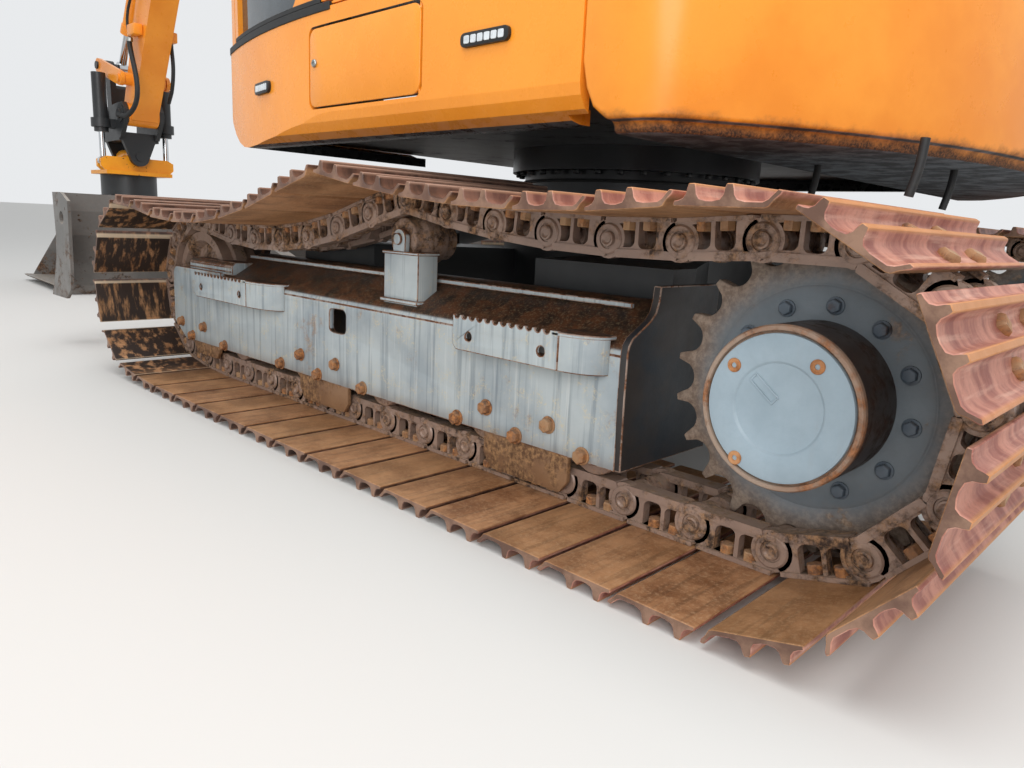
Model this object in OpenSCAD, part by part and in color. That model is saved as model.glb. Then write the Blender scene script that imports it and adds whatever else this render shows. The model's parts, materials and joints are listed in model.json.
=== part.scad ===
// Short-tail crawler excavator with a dozer blade and a grading bucket on a tiltrotator.
// Millimetres. Origin on the ground under the swing axis, +X forward, +Y left, +Z up.

/* [Undercarriage] */
// Distance between the centre planes of the two chains
gauge = 1870; // [1700:10:2000]
// Distance from sprocket centre to idler centre
tumbler_distance = 2230; // [2100:10:2400]
// How far the swing axis stands ahead of the sprockets
swing_ahead = 1090; // [1000:5:1200]
// Pitch of the chain from pin to pin
pitch = 154; // [150:0.5:158]
// Links and shoes in one loop
link_count = 39; // [38:1:40]
// Width of the shoes
shoe_width = 672; // [450:2:700]
// Height of the grousers above the shoe's plate
grouser_height = 22; // [15:1:28]
// Thickness of the shoe's plate
shoe_plate = 9; // [7:0.5:12]
// Height from the shoe's plate to the link pins
pin_above_plate = 41.5; // [36:0.5:48]
// Height from the link pins to the rail on which the rollers run
rail_above_pin = 34; // [30:0.5:40]
// Radius of the pins' circle round the idler
idler_pin_radius = 240; // [230:1:250]
// Height of the idler's lowest pin above the lower run's
idler_lift = 12; // [0:1:25]
// Teeth of the sprocket, of which every second one meets a pin
sprocket_teeth = 21; // [19:2:23]
// Bolts that hold the sprocket's ring
sprocket_bolts = 12; // [8:1:16]
// Circle of those bolts
sprocket_bolt_circle = 314; // [290:2:330]
// Radius of the final drive's hub
hub_radius = 131; // [115:1:140]
// Outer face of the track frame's side plate from the chain's centre plane
frame_face = 105; // [98:1:120]
// Thickness of the track frame's plates
frame_plate = 16; // [10:1:22]

/* [Blade] */
// Width of the dozer blade
blade_width = 2470; // [2200:10:2600]
// Height of the blade's lower edge as parked
blade_lift = 213; // [150:1:300]
// Height of the blade
blade_height = 424; // [380:1:480]

/* [Upper structure] */
// Width of the upper structure over its side panels
upper_width = 2170; // [2100:10:2260]
// Reach of the counterweight behind the swing axis
tail_reach = 1204; // [1150:2:1260]
// Radius of the counterweight's rear face
tail_curve = 1675; // [1500:5:1800]
// Reach of the side panels and the cab ahead of the swing axis
skirt_front = 1010; // [950:5:1060]
// Height of the side panels' lower edge
skirt_bottom = 788; // [770:1:820]
// Height of the side panels' upper edge
skirt_top = 1101; // [1050:1:1120]
// Height of the cab's roof
cab_top = 2690; // [2600:10:2760]
// Width of the cab
cab_width = 805; // [760:5:810]

/* [Boom and arm] */
// Length of the boom between its pins
boom_length = 3555; // [3400:5:3700]
// Rise of the boom's pin line as parked, in degrees
boom_rise = 22.94; // [15:0.01:30]
// Length of the arm between its pins
arm_length = 1700; // [1500:5:1900]
// Lean of the arm's pin line below level as parked, in degrees
arm_fall = 60.94; // [50:0.01:75]
// Width of the boom
boom_width = 250; // [240:5:270]
// Width of the arm
arm_width = 176; // [160:4:190]

/* [Tiltrotator and bucket] */
// Width of the tilt frame over its pins
tilt_frame_width = 482; // [440:2:520]
// Width of the bucket
bucket_width = 1240; // [1000:10:1400]
// Turn of the bucket about the rotator as parked, in degrees
bucket_yaw = 86.5; // [80:0.5:90]

/* [Hidden] */
$fn = 48;

orange = "#f08c28";
undercarriage_grey = "#8795a1";
rust = "#7a5638";
dark = "#2b2c2e";
steel = "#6a6058";
chrome = "#c8ccd0";
glass_grey = "#7f8f98";
tilt_yellow = "#f2a51e";

// Least gap between pieces that seat on one another
seat = 0.3;
// Gap beside pieces that move
running = 8;
// Radial play of pins and rods in their bores
fit = 0.05;

// Track levels
chain_y = gauge / 2;
plate_z = grouser_height + shoe_plate;
pin_z = plate_z + pin_above_plate;
sprocket_x = -swing_ahead;
idler_x = tumbler_distance - swing_ahead;
sprocket_radius = pitch / (2 * sin(360 / sprocket_teeth));
idler_radius = sqrt(pow(idler_pin_radius, 2) - pow(pitch / 2, 2)) - rail_above_pin;
sprocket_z = pin_z + sprocket_radius;
idler_z = pin_z + idler_lift + idler_pin_radius;
roller_radius = 62;
roller_z = pin_z + rail_above_pin + roller_radius;
roller_x = [-770, -375, 20, 415, 810];
carrier_x = -32;
carrier_radius = 52;
carrier_z = 546;
carrier_axle_r = 14;

// Levels of the upper structure
ring_z = 765;
deck_z = 835;
deck_t = 34;
skirt_y = upper_width / 2;
seam_x = -650;

// Pins of the boom, arm and tool in side view
boom_foot = [230, 1330];
boom_dir = [cos(boom_rise), sin(boom_rise)];
boom_tip = boom_foot + boom_length * boom_dir;
arm_dir = [cos(arm_fall), -sin(arm_fall)];
arm_tip = boom_tip + arm_length * arm_dir;
function boom_at(s, h) = boom_foot + s * boom_dir + h * [-boom_dir[1], boom_dir[0]];
function arm_at(a, n) = boom_tip + a * arm_dir + n * [-arm_dir[1], arm_dir[0]];
boom_eye = boom_at(1500, 560);
boom_cylinder_foot = [720, 1000];
arm_cylinder_foot = boom_at(1700, 900);
arm_eye = arm_at(-400, 60);
bucket_cylinder_foot = arm_at(289, 331);
rocker_foot = arm_at(1461, 33);
rocker_eye = rocker_foot + [402, 121];
hitch_pin = arm_tip + [300, -5];

// Tiltrotator and bucket
tilt_z = arm_tip[1] - 282;
rotator_x = arm_tip[0] + 290;
tilt_pin_y = tilt_frame_width / 2 - 20;
bucket_top_z = 590;

// Solids drawn in side view, X to the right and Z up
module side(y0, t) {
    translate([0, y0 + t, 0]) rotate([90, 0, 0]) linear_extrude(t) children();
}
// Solids drawn in front view, Y to the right and Z up
module front(x0, t) {
    translate([x0, 0, 0]) rotate([90, 0, 90]) linear_extrude(t) children();
}
// Solids drawn in plan
module plan(z0, t) {
    translate([0, 0, z0]) linear_extrude(t) children();
}
// Round bar along Y
module cross_bar(p, r, y0, y1) {
    translate([p[0], y1, p[1]]) rotate([90, 0, 0]) cylinder(r = r, h = y1 - y0);
}
// Round bar between two points of the side view
module bar(p, q, r, y = 0) {
    run = q - p;
    translate([p[0], y, p[1]]) rotate([0, 90 - atan2(run[1], run[0]), 0]) cylinder(r = r, h = norm(run));
}
// Point at a distance from one pin towards the other
function towards(f, e, d) = f + d * (e - f) / norm(e - f);
// Hydraulic barrel: eye on the foot pin, neck, tube and the rod's bore
module ram_barrel(f, e, y, tube_r, rod_r, neck, reach, eye_r, eye_w, pin_r) {
    difference() {
        union() {
            side(y - eye_w / 2, eye_w) strap(f, towards(f, e, neck), eye_r - 8);
            cross_bar(f, eye_r, y - eye_w / 2, y + eye_w / 2);
            bar(towards(f, e, neck), towards(f, e, reach), tube_r, y);
            bar(towards(f, e, reach - 60), towards(f, e, reach), tube_r + 6, y);
        }
        cross_bar(f, pin_r + fit, y - eye_w / 2 - 1, y + eye_w / 2 + 1);
        bar(towards(f, e, neck + 15), towards(f, e, reach + 1), rod_r + fit, y);
    }
}
// Rod from inside its barrel to its eye
module ram_rod(f, e, y, rod_r, start, eye_r, eye_w) {
    bar(towards(f, e, start), towards(e, f, eye_r * 0.6), rod_r, y);
    cross_bar(e, eye_r, y - eye_w / 2, y + eye_w / 2);
}
// Pair of ears for a pin in side view, with the pin if there is one
module ears(p, y, gap, t, r, pin_r = 0) {
    for (s = [-1, 1]) side(y + s * (gap / 2 + t / 2) - t / 2, t) {
        translate(p) circle(r);
        children();
    }
    if (pin_r > 0) cross_bar(p, pin_r, y - gap / 2 - t - 12, y + gap / 2 + t + 12);
}
// Flat strap with round ends between two points of the side view
module strap(p, q, r) {
    run = q - p;
    translate(p) rotate(atan2(run[1], run[0])) {
        translate([0, -r]) square([norm(run), 2 * r]);
        circle(r);
        translate([norm(run), 0]) circle(r);
    }
}
module rounded(x, z, w, h, r) {
    translate([x + r, z]) square([w - 2 * r, h]);
    translate([x, z + r]) square([w, h - 2 * r]);
    for (cx = [x + r, x + w - r], cz = [z + r, z + h - r]) translate([cx, cz]) circle(r);
}
module on_both_sides() {
    children();
    mirror([0, 1, 0]) children();
}
module on_right() {
    mirror([0, 1, 0]) children();
}

// Course of the pins round the loop: lower run forward, ramp to the idler, upper run back, sprocket
ramp_x = 925;
idler_leave = 101;
sprocket_meet = 82;
front_sag = 86;
rear_sag = 40;
carrier_top = [carrier_x, carrier_z + carrier_radius + rail_above_pin + 16];
idler_off = [idler_x, idler_z] + idler_pin_radius * [cos(idler_leave), sin(idler_leave)];
sprocket_on = [sprocket_x, sprocket_z] + sprocket_radius * [cos(sprocket_meet), sin(sprocket_meet)];
function arc(c, r, a0, a1, n) = [for (i = [0 : n]) let (a = a0 + (a1 - a0) * i / n) c + r * [cos(a), sin(a)]];
function sag(p, q, drop, n) = [for (i = [1 : n - 1]) let (u = i / n) p + u * (q - p) - [0, 4 * drop * u * (1 - u)]];
course = concat(
    [[sprocket_x, pin_z], [ramp_x, pin_z]],
    arc([idler_x, idler_z], idler_pin_radius, -87.5, idler_leave, 30),
    sag(idler_off, carrier_top, front_sag, 10),
    [carrier_top],
    sag(carrier_top, sprocket_on, rear_sag, 10),
    arc([sprocket_x, sprocket_z], sprocket_radius, sprocket_meet, 270, 30)
);
function run_length(p, i = 0) = i >= len(p) - 1 ? 0 : norm(p[i + 1] - p[i]) + run_length(p, i + 1);
course_length = run_length(course);
function along(p, s, i = 0) =
    let (d = norm(p[i + 1] - p[i]))
    s <= d || i >= len(p) - 2 ? p[i] + (p[i + 1] - p[i]) * s / d : along(p, s - d, i + 1);

// Pins at their true pitch but on the upper run, which takes up the slack
course_start = 13;
slack_from = 19;
slack_to = link_count - 6;
function pin_run(i) =
    i <= slack_from ? pitch * i :
    i >= slack_to ? course_length - pitch * (link_count - i) :
    pitch * slack_from + (course_length - pitch * (link_count - slack_to + slack_from)) * (i - slack_from) / (slack_to - slack_from);
pins = [for (i = [0 : link_count - 1]) let (s = course_start + pin_run(i)) along(course, s >= course_length ? s - course_length : s)];
function travel(i) = let (run = pins[(i + 1) % link_count] - pins[i % link_count]) run / norm(run);
function outward(d) = [d[1], -d[0]];
function ring(v) = [for (i = [0 : link_count - 1])
    let (d = travel(i + link_count - 1) + travel(i)) pins[i] + v * outward(d / norm(d))];

// Shoe in side view: u along the travel, v outwards from the plate's seat on the links
shoe_rear = -94;
shoe_front = 58;
grouser_at = [-61, -4];
lip = 11;
function grouser(u) = [[u - 11, shoe_plate], [u - 7, plate_z], [u + 7, plate_z], [u + 11, shoe_plate]];
shoe_outline = concat(
    [[shoe_rear, shoe_plate]],
    grouser(grouser_at[0]),
    grouser(grouser_at[1]),
    [[shoe_front - 8, shoe_plate], [shoe_front + 4, shoe_plate + lip], [shoe_front + 12, shoe_plate + lip]]
);
shoe_ring = [for (i = [0 : link_count - 1])
    let (mid = (pins[i] + pins[(i + 1) % link_count]) / 2, d = travel(i))
    each [for (k = shoe_outline) mid + k[0] * d + (pin_above_plate + k[1]) * outward(d)]];

// Loop of shoes on its two rails of links
rail_outer = 84;
rail_inner = 44;
module track() {
    color(rust) {
        side(chain_y - shoe_width / 2, shoe_width) difference() {
            polygon(shoe_ring);
            polygon(ring(pin_above_plate));
        }
        for (y = [-rail_outer, rail_inner]) side(chain_y + y, rail_outer - rail_inner) difference() {
            polygon(ring(pin_above_plate + 1));
            polygon(ring(seat - rail_above_pin));
        }
    }
}
module track_left() track();
module track_right() on_right() track();

// Toothed ring between the chain's rails: a disc scalloped for the pins, with its row of bolts
sprocket_tip = 5;
scallop_radius = 26;
mesh_angle = 270 + course_start / sprocket_radius * 180 / PI;
sprocket_bolt_first = 66.2;
module sprocket() {
    c = [sprocket_x, sprocket_z];
    color(undercarriage_grey) {
        side(chain_y - 20, 40) difference() {
            translate(c) circle(sprocket_radius + sprocket_tip, $fn = 96);
            for (i = [0 : sprocket_teeth - 1]) translate(c) rotate(mesh_angle + i * 360 / sprocket_teeth)
                translate([sprocket_radius + 1, 0]) circle(scallop_radius);
            translate(c) circle(hub_radius + 1, $fn = 96);
        }
        for (i = [0 : sprocket_bolts - 1]) let (a = sprocket_bolt_first + i * 360 / sprocket_bolts)
            cross_bar(c + sprocket_bolt_circle / 2 * [cos(a), sin(a)], 15, chain_y + 20 - seat, chain_y + 36);
    }
}
module sprockets() on_both_sides() sprocket();

// Hub, cover and the motor's housing behind the sprocket
hub_face = 154;
module final_drive() {
    c = [sprocket_x, sprocket_z];
    color(undercarriage_grey) {
        cross_bar(c, hub_radius, chain_y - 150, chain_y + hub_face - 14);
        difference() {
            cross_bar(c, hub_radius - 10, chain_y + hub_face - 15, chain_y + hub_face);
            side(chain_y + hub_face - 5, 6) translate(c) difference() {
                circle(hub_radius - 25);
                circle(hub_radius - 33);
            }
        }
        cross_bar(c, 168, chain_y + frame_in + frame_plate + seat, chain_y - 20 - seat);
    }
}
module final_drives() on_both_sides() final_drive();

// Idler wheel with its centre flange and axle
axle_end = frame_face - frame_plate - seat;
module idler() {
    color(rust) translate([idler_x, chain_y, idler_z]) rotate([90, 0, 0]) rotate_extrude($fn = 96)
        polygon([
            [30, -axle_end], [60, -axle_end], [60, -48], [150, -30], [idler_radius - 30, -62], [idler_radius, -62],
            [idler_radius, -24], [idler_radius + 14, -20], [idler_radius + 14, 20], [idler_radius, 24],
            [idler_radius, 62], [idler_radius - 30, 62], [150, 30], [60, 48], [60, axle_end], [30, axle_end]
        ]);
}
module idlers() on_both_sides() idler();

// Lower rollers and the carrier roller
module roller_set() {
    color(rust) {
        for (x = roller_x) {
            translate([x, chain_y, roller_z]) rotate([90, 0, 0]) rotate_extrude()
                polygon([
                    [0, -axle_end], [26, -axle_end], [26, -84], [roller_radius, -84], [roller_radius, -36], [roller_radius + 10, -30],
                    [roller_radius + 10, 30], [roller_radius, 36], [roller_radius, 84], [26, 84], [26, axle_end], [0, axle_end]
                ]);
        }
        translate([carrier_x, chain_y, carrier_z]) rotate([90, 0, 0]) rotate_extrude()
            polygon([
                [0, -92], [carrier_axle_r, -92], [carrier_axle_r, -70], [carrier_radius, -70], [carrier_radius, -40],
                [carrier_radius + 12, -30], [carrier_radius + 12, 30], [carrier_radius, 40],
                [carrier_radius, 66], [0, 66]
            ]);
    }
}
module rollers() on_both_sides() roller_set();

// Track frame: an open-bottomed box beam with steps, guards and the carrier roller's bracket
frame_out = frame_face;
frame_in = -105;
frame_low = 130;
frame_rear = -770;
frame_front = 1294;
step_out = 50;
// Outline of the bulkhead at the rear: distance from the chain's centre plane, height
bulkhead = [
    [frame_out - 4, frame_low + 5], [frame_out, 278], [frame_out, 360], [frame_out - 7, 386], [frame_out - 34, 407],
    [frame_out - 65, 424], [frame_out - 83, 439], [frame_out - 91, 462], [frame_out - 94, 490], [-206, 490], [-206, frame_low + 5]
];
// Guards below the side plate: rear end, front end, lower edge
guards = [[941, 1139, 88], [157, 409, 58], [-639, -389, 51]];
// Steps on the side plate: rear end, front end, lower edge, upper edge
steps = [[-727, -304, 304, 396], [381, 1010, 287, 382]];
module step(x0, x1, z0, z1) {
    side(chain_y + frame_out + step_out - 8, 8) difference() {
        rounded(x0, z0, x1 - x0, z1 - z0, 30);
        for (x = [x0 + 15 : 24 : x1 - 12]) translate([x, z1 + 3]) circle(9, $fn = 12);
        for (x = [x0 + 90, x1 - 90]) translate([x, (z0 + z1) / 2]) circle(15);
    }
    translate([x0 + 30, chain_y + frame_out - 1, z1 - 20]) cube([x1 - x0 - 60, step_out, 8]);
    for (x = [x0 + 30, x1 - 38]) translate([x, chain_y + frame_out - 1, z0 + 4]) cube([8, step_out, z1 - z0 - 16]);
}
module track_frame() {
    t = frame_plate;
    color(undercarriage_grey) {
        difference() {
            // side plates, sloped top and the inner plate
            translate([0, chain_y, 0]) front(frame_rear, frame_front - frame_rear) polygon([
                [frame_out, frame_low], [frame_out, 385], [frame_out - 130, 455], [frame_in + 20, 455],
                [frame_in, 435], [frame_in, frame_low], [frame_in + t, frame_low], [frame_in + t, 428],
                [frame_out - 134, 438], [frame_out - t, 375], [frame_out - t, frame_low]
            ]);
            // cut corner at the front
            side(chain_y - 200, 400) polygon([[1205, 120], [frame_front, 189], [1400, 189], [1400, 100]]);
            // slot for the idler
            translate([idler_x - idler_radius - 40, chain_y + frame_in + t, 60])
                cube([600, -frame_in + frame_out - 2 * t, 560]);
            // inspection hole
            side(chain_y + frame_out - 60, 120) rounded(164, 279, 80, 66, 14);
        }
        for (g = guards) side(chain_y + frame_out - 9, 9) polygon([
            [g[0], frame_low + 4], [g[0] + 12, g[2]], [g[1] - 12, g[2]], [g[1], frame_low + 4]
        ]);
        for (f = steps) step(f[0], f[1], f[2], f[3]);
        // bulkhead and motor bracket at the rear
        translate([0, chain_y, 0]) front(frame_rear, t) difference() {
            polygon(bulkhead);
            translate([frame_in + t, frame_low]) square([frame_out - frame_in - 2 * t, roller_z + roller_radius + 20 - frame_low]);
        }
        side(chain_y + frame_in, t) difference() {
            polygon([[frame_rear + 2, 150], [frame_rear + 2, 440], [-960, 500], [-1190, 440], [-1190, 230], [-960, 160]]);
            translate([sprocket_x, sprocket_z]) circle(hub_radius + seat, $fn = 96);
        }
        // post of the carrier roller, outside the roller
        side(chain_y + 72, 16) difference() {
            union() {
                translate([carrier_x - 76, 380]) square([144, 121]);
                translate([carrier_x - 27, 500]) square([54, carrier_z - 500]);
                translate([carrier_x, carrier_z]) circle(27);
            }
            translate([carrier_x, carrier_z]) circle(carrier_axle_r + fit);
        }
    }
}
module track_frame_left() track_frame();
module track_frame_right() on_right() track_frame();

// Centre frame: tower for the swing ring, four legs to the track frames and the blade's ears
blade_pivot = [850, 330];
blade_ram_foot = [480, 640];
blade_ram_eye = [1500, 400];
blade_arm_y = 400;
blade_arm_t = 64;
blade_pin_r = 28;
belly_z = 368;
leg_y = chain_y + frame_in - seat;
leg_h = 150;
module centre_frame() {
    color(dark) {
        plan(belly_z, leg_h) difference() {
            union() {
                circle(430, $fn = 96);
                for (sx = [-1, 1], sy = [-1, 1]) polygon([
                    [sx * 120, sy * 300], [sx * 330, sy * leg_y], [sx * 720, sy * leg_y],
                    [sx * 700, sy * (leg_y - 120)], [sx * 380, sy * 100]
                ]);
            }
            circle(150);
        }
        plan(belly_z + leg_h - 1, 191 - leg_h) difference() {
            circle(430, $fn = 96);
            circle(150);
        }
        plan(belly_z + 189, 680 - belly_z - 189) difference() {
            circle(400, $fn = 96);
            circle(150);
        }
        for (s = [-1, 1]) ears(blade_pivot, s * blade_arm_y, blade_arm_t + 8, 26, 62, blade_pin_r)
            polygon([[500, belly_z + 2], [500, 556], [600, 556], [890, 380], [850, 268]]);
        ears(blade_ram_foot, 0, 74, 28, 60, blade_pin_r) polygon([[360, 500], [360, 676], [470, 698], [540, 640], [480, 500]]);
    }
}

module swing_ring() {
    color(dark) plan(680 + seat, ring_z - 680 - 2 * seat) difference() {
        circle(368, $fn = 96);
        circle(290, $fn = 96);
    }
}

// Dozer blade: curved plate and end plates
function blade_z(u) = blade_lift + u * blade_height;
blade_back = [
    [1965, blade_z(1)], [1945, blade_z(0.83)], [1935, blade_z(0.6)], [1952, blade_z(0.33)], [2000, blade_z(0.1)], [2050, blade_z(0)]
];
module dozer_blade() {
    half = blade_width / 2;
    color(undercarriage_grey) difference() {
        union() {
            side(-half + 11, blade_width - 22) polygon(concat(
                [
                    [2080, blade_z(0)], [2030, blade_z(0.14)], [1985, blade_z(0.35)], [1968, blade_z(0.6)],
                    [1978, blade_z(0.83)], [2000, blade_z(1)]
                ],
                blade_back
            ));
            for (y = [-half, half - 12]) side(y, 12) polygon([
                [2080, blade_z(0)], [2035, blade_z(0.16)], [1990, blade_z(0.38)], [1975, blade_z(0.6)],
                [1980, blade_z(0.83)], [1985, blade_z(1)], [1880, blade_z(1)], [1800, blade_z(0.92)],
                [1815, blade_z(0.28)], [1830, blade_z(0.1)], [1890, blade_z(0)]
            ]);
        }
        for (y = [-half - 1, half - 13]) cross_bar([1888, 537], 26, y, y + 14);
    }
}
// Frame behind the blade: two arms that end on its back, a cross member and the cylinder's ears
module blade_frame() {
    color(undercarriage_grey) difference() {
        union() {
            for (s = [-1, 1]) side(s * blade_arm_y - blade_arm_t / 2, blade_arm_t) {
                translate(blade_pivot) circle(58);
                polygon([
                    blade_pivot + [-10, 56], blade_pivot + [20, -56], [1500, 250], [2030, 250], [1960, 520], [1500, 380]
                ]);
            }
            side(-blade_arm_y, 2 * blade_arm_y) polygon([[1440, 255], [1440, 345], [1560, 345], [1560, 255]]);
            ears(blade_ram_eye, 0, 78, 28, 52) polygon([[1440, 300], [1450, 420], [1550, 420], [1600, 300]]);
        }
        for (s = [-1, 1]) cross_bar(blade_pivot, blade_pin_r + fit, s * blade_arm_y - 60, s * blade_arm_y + 60);
        side(-blade_arm_y - blade_arm_t, 2 * (blade_arm_y + blade_arm_t))
            polygon(concat([[2200, blade_z(1)]], blade_back, [[2200, blade_z(0)]]));
    }
}
module blade_cylinder_barrel() {
    color(dark) ram_barrel(blade_ram_foot, blade_ram_eye, 0, 52, 30, 78, 690, 54, 68, blade_pin_r);
}
module blade_cylinder_rod() {
    color(chrome) ram_rod(blade_ram_foot, blade_ram_eye, 0, 30, 330, 46, 68);
}

// Deck, the boom's brackets and the ears of the boom cylinders
deck_half = skirt_y - 60;
deck_front = skirt_front - 210;
bracket_t = 24;
bracket_y = boom_width / 2 + running;
boom_pin_r = 45;
ram_tube_r = 48;
ram_y = bracket_y + bracket_t + running + ram_tube_r;
ram_eye_w = 60;
module upper_frame() {
    color(dark) {
        plan(deck_z, deck_t) difference() {
            polygon([
                [seam_x, -deck_half], [400, -deck_half], [deck_front, -900], [deck_front, 900], [400, deck_half], [seam_x, deck_half]
            ]);
            circle(240);
        }
        for (s = [-1, 1]) side(s * (bracket_y + bracket_t / 2) - bracket_t / 2, bracket_t) {
            polygon([
                [-420, deck_z + deck_t - 2], [-360, 1100], [60, 1360], [140, 1410], [320, 1410], [560, 1130], [640, deck_z + 5]
            ]);
            translate(boom_foot) circle(100);
        }
        cross_bar(boom_foot, boom_pin_r, -bracket_y - bracket_t - 14, bracket_y + bracket_t + 14);
        for (s = [-1, 1]) ears(boom_cylinder_foot, s * ram_y, ram_eye_w + 4, 22, 60, 30)
            polygon([[520, deck_z + 5], [560, 960], [690, 1052], [778, 1000], [740, deck_z]]);
        translate([500, -ram_y - 54, deck_z]) cube([160, 2 * ram_y + 108, 70]);
    }
}

module turntable_ring() {
    color(dark) plan(ring_z, deck_z - ring_z - seat) difference() {
        circle(411, $fn = 96);
        circle(300, $fn = 96);
    }
}

// Counterweight in plan: a wide arc with rounded corners, drawn smaller for its low edge and for the hood
tail_x = tail_curve - tail_reach;
tail_corner = 130;
tail_corner_x = tail_x - sqrt(pow(tail_curve - tail_corner, 2) - pow(skirt_y - tail_corner, 2));
counterweight_low = 760;
counterweight_edge = 22;
// Notch of the engine bay in plan: x, y, length, width
engine_bay = [-900, -800, 300, 1600];
module tail_outline(inset = 0) {
    tangent_y = tail_curve * (skirt_y - tail_corner) / (tail_curve - tail_corner);
    intersection() {
        union() {
            intersection() {
                translate([tail_x, 0]) circle(tail_curve - inset, $fn = 192);
                translate([-2000, -tangent_y]) square([2000, 2 * tangent_y]);
            }
            translate([tail_corner_x, -skirt_y + inset]) square([-tail_corner_x, 2 * (skirt_y - inset)]);
            for (s = [-1, 1]) translate([tail_corner_x, s * (skirt_y - tail_corner)]) circle(tail_corner - inset);
        }
        translate([-2000, -skirt_y]) square([2000 + seam_x - seat, 2 * skirt_y]);
    }
}
module counterweight() {
    body_z = counterweight_low + counterweight_edge;
    color(orange) {
        difference() {
            union() {
                plan(body_z, counterweight_top - body_z) tail_outline();
                plan(counterweight_low, counterweight_edge) tail_outline(counterweight_edge);
            }
            translate([engine_bay[0], engine_bay[1], deck_z + deck_t])
                cube([engine_bay[2], engine_bay[3], counterweight_top - deck_z]);
            // rounded lower corners beside the side panels
            side(-1200, 2400) polygon([
                [seam_x + 10, 740], [seam_x + 10, 890], [seam_x, 888], [-662, 840], [-680, 806], [-713, 782], [-716, 740]
            ]);
        }
    }
}

// Side panels: sheet-metal skirts that turn round the front corners
bow_x = 159;
bow_radius = 2645;
nose_radius = 120;
nose_x = skirt_front - nose_radius;
nose_y = skirt_y - bow_radius + sqrt(pow(bow_radius - nose_radius, 2) - pow(nose_x - bow_x, 2));
nose_end = bow_x + bow_radius * (nose_x - bow_x) / (bow_radius - nose_radius);
// How far the bowed side stands inside its flat part
function bow(x) = x < bow_x ? 0 : bow_radius - sqrt(pow(bow_radius, 2) - pow(x - bow_x, 2));
module skirt_plan(grow = 0) {
    translate([seam_x, 0]) square([skirt_front - seam_x + grow, nose_y]);
    translate([seam_x, 0]) square([bow_x - seam_x, skirt_y + grow]);
    intersection() {
        translate([bow_x, skirt_y - bow_radius]) circle(bow_radius + grow, $fn = 192);
        translate([bow_x - 1, 0]) square([nose_end - bow_x + 1, skirt_y + grow]);
    }
    translate([nose_x, nose_y]) circle(nose_radius + grow);
}
hatch = [-198, 862, 468, 200];
skirt_t = 30;
skirt_gap = 330;
skirt_round = 70;
chin_radius = 300;
chin_facets = 8;
chin = [skirt_front + 1 - chin_radius, skirt_bottom + chin_radius];
// Side view of the panels, rounded below the front
module chin_outline(inset = 0) {
    polygon(concat(
        [[skirt_front + 1 - inset, skirt_top + 100], [seam_x - 1, skirt_top + 100], [seam_x - 1, skirt_bottom + inset]],
        arc(chin, chin_radius - inset, 270, 360, chin_facets)
    ));
}
module skirt() {
    difference() {
        intersection() {
            plan(skirt_bottom, skirt_top - skirt_bottom) skirt_plan();
            side(-1, skirt_y + 2) chin_outline();
            front(seam_x - 1, skirt_front - seam_x + 2) polygon(concat(
                [[skirt_y + 1, skirt_top + 1], [0, skirt_top + 1], [0, skirt_bottom - 1]],
                arc([skirt_y + 1 - skirt_round, skirt_bottom - 1 + skirt_round], skirt_round, 270, 360, 4)
            ));
        }
        intersection() {
            plan(skirt_bottom, skirt_top) skirt_plan(-skirt_t);
            side(0, skirt_y) chin_outline(skirt_t);
        }
        plan(skirt_bottom - 1, skirt_top) {
            translate([seam_x - 1, -1]) square([chin[0] - seam_x + 1, skirt_y - 95]);
            translate([seam_x - 1, -1]) square([3000, skirt_gap + 1]);
            translate([seam_x - 1, -1]) square([50, skirt_y - skirt_t + 1]);
        }
    }
}
hatch_gap = 9;
hatch_t = 16;
hatch_pin_r = 4;
hatch_axis = [hatch[0] + hatch_gap + 6, skirt_y - hatch_t / 2];
module skirts() {
    color(orange) difference() {
        on_both_sides() skirt();
        side(skirt_y - 60, 100) rounded(hatch[0], hatch[1], hatch[2], hatch[3], 23);
        translate([hatch_axis[0], hatch_axis[1], hatch[1] - 20]) cylinder(r = hatch_pin_r + fit, h = hatch[3] + 40);
        translate([side_door_axis[0], side_door_axis[1], skirt_top - 12]) cylinder(r = door_pin_r + fit, h = 20);
    }
}
module service_hatch() {
    color(orange) {
        intersection() {
            side(skirt_y - hatch_t, hatch_t)
                rounded(hatch[0] + hatch_gap, hatch[1] + 5, hatch[2] - hatch_gap - 5, hatch[3] - 10, 26);
            plan(skirt_bottom, skirt_top) skirt_plan();
        }
        translate([hatch_axis[0], hatch_axis[1], hatch[1] - 14]) cylinder(r = hatch_pin_r, h = hatch[3] + 28);
    }
}

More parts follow.
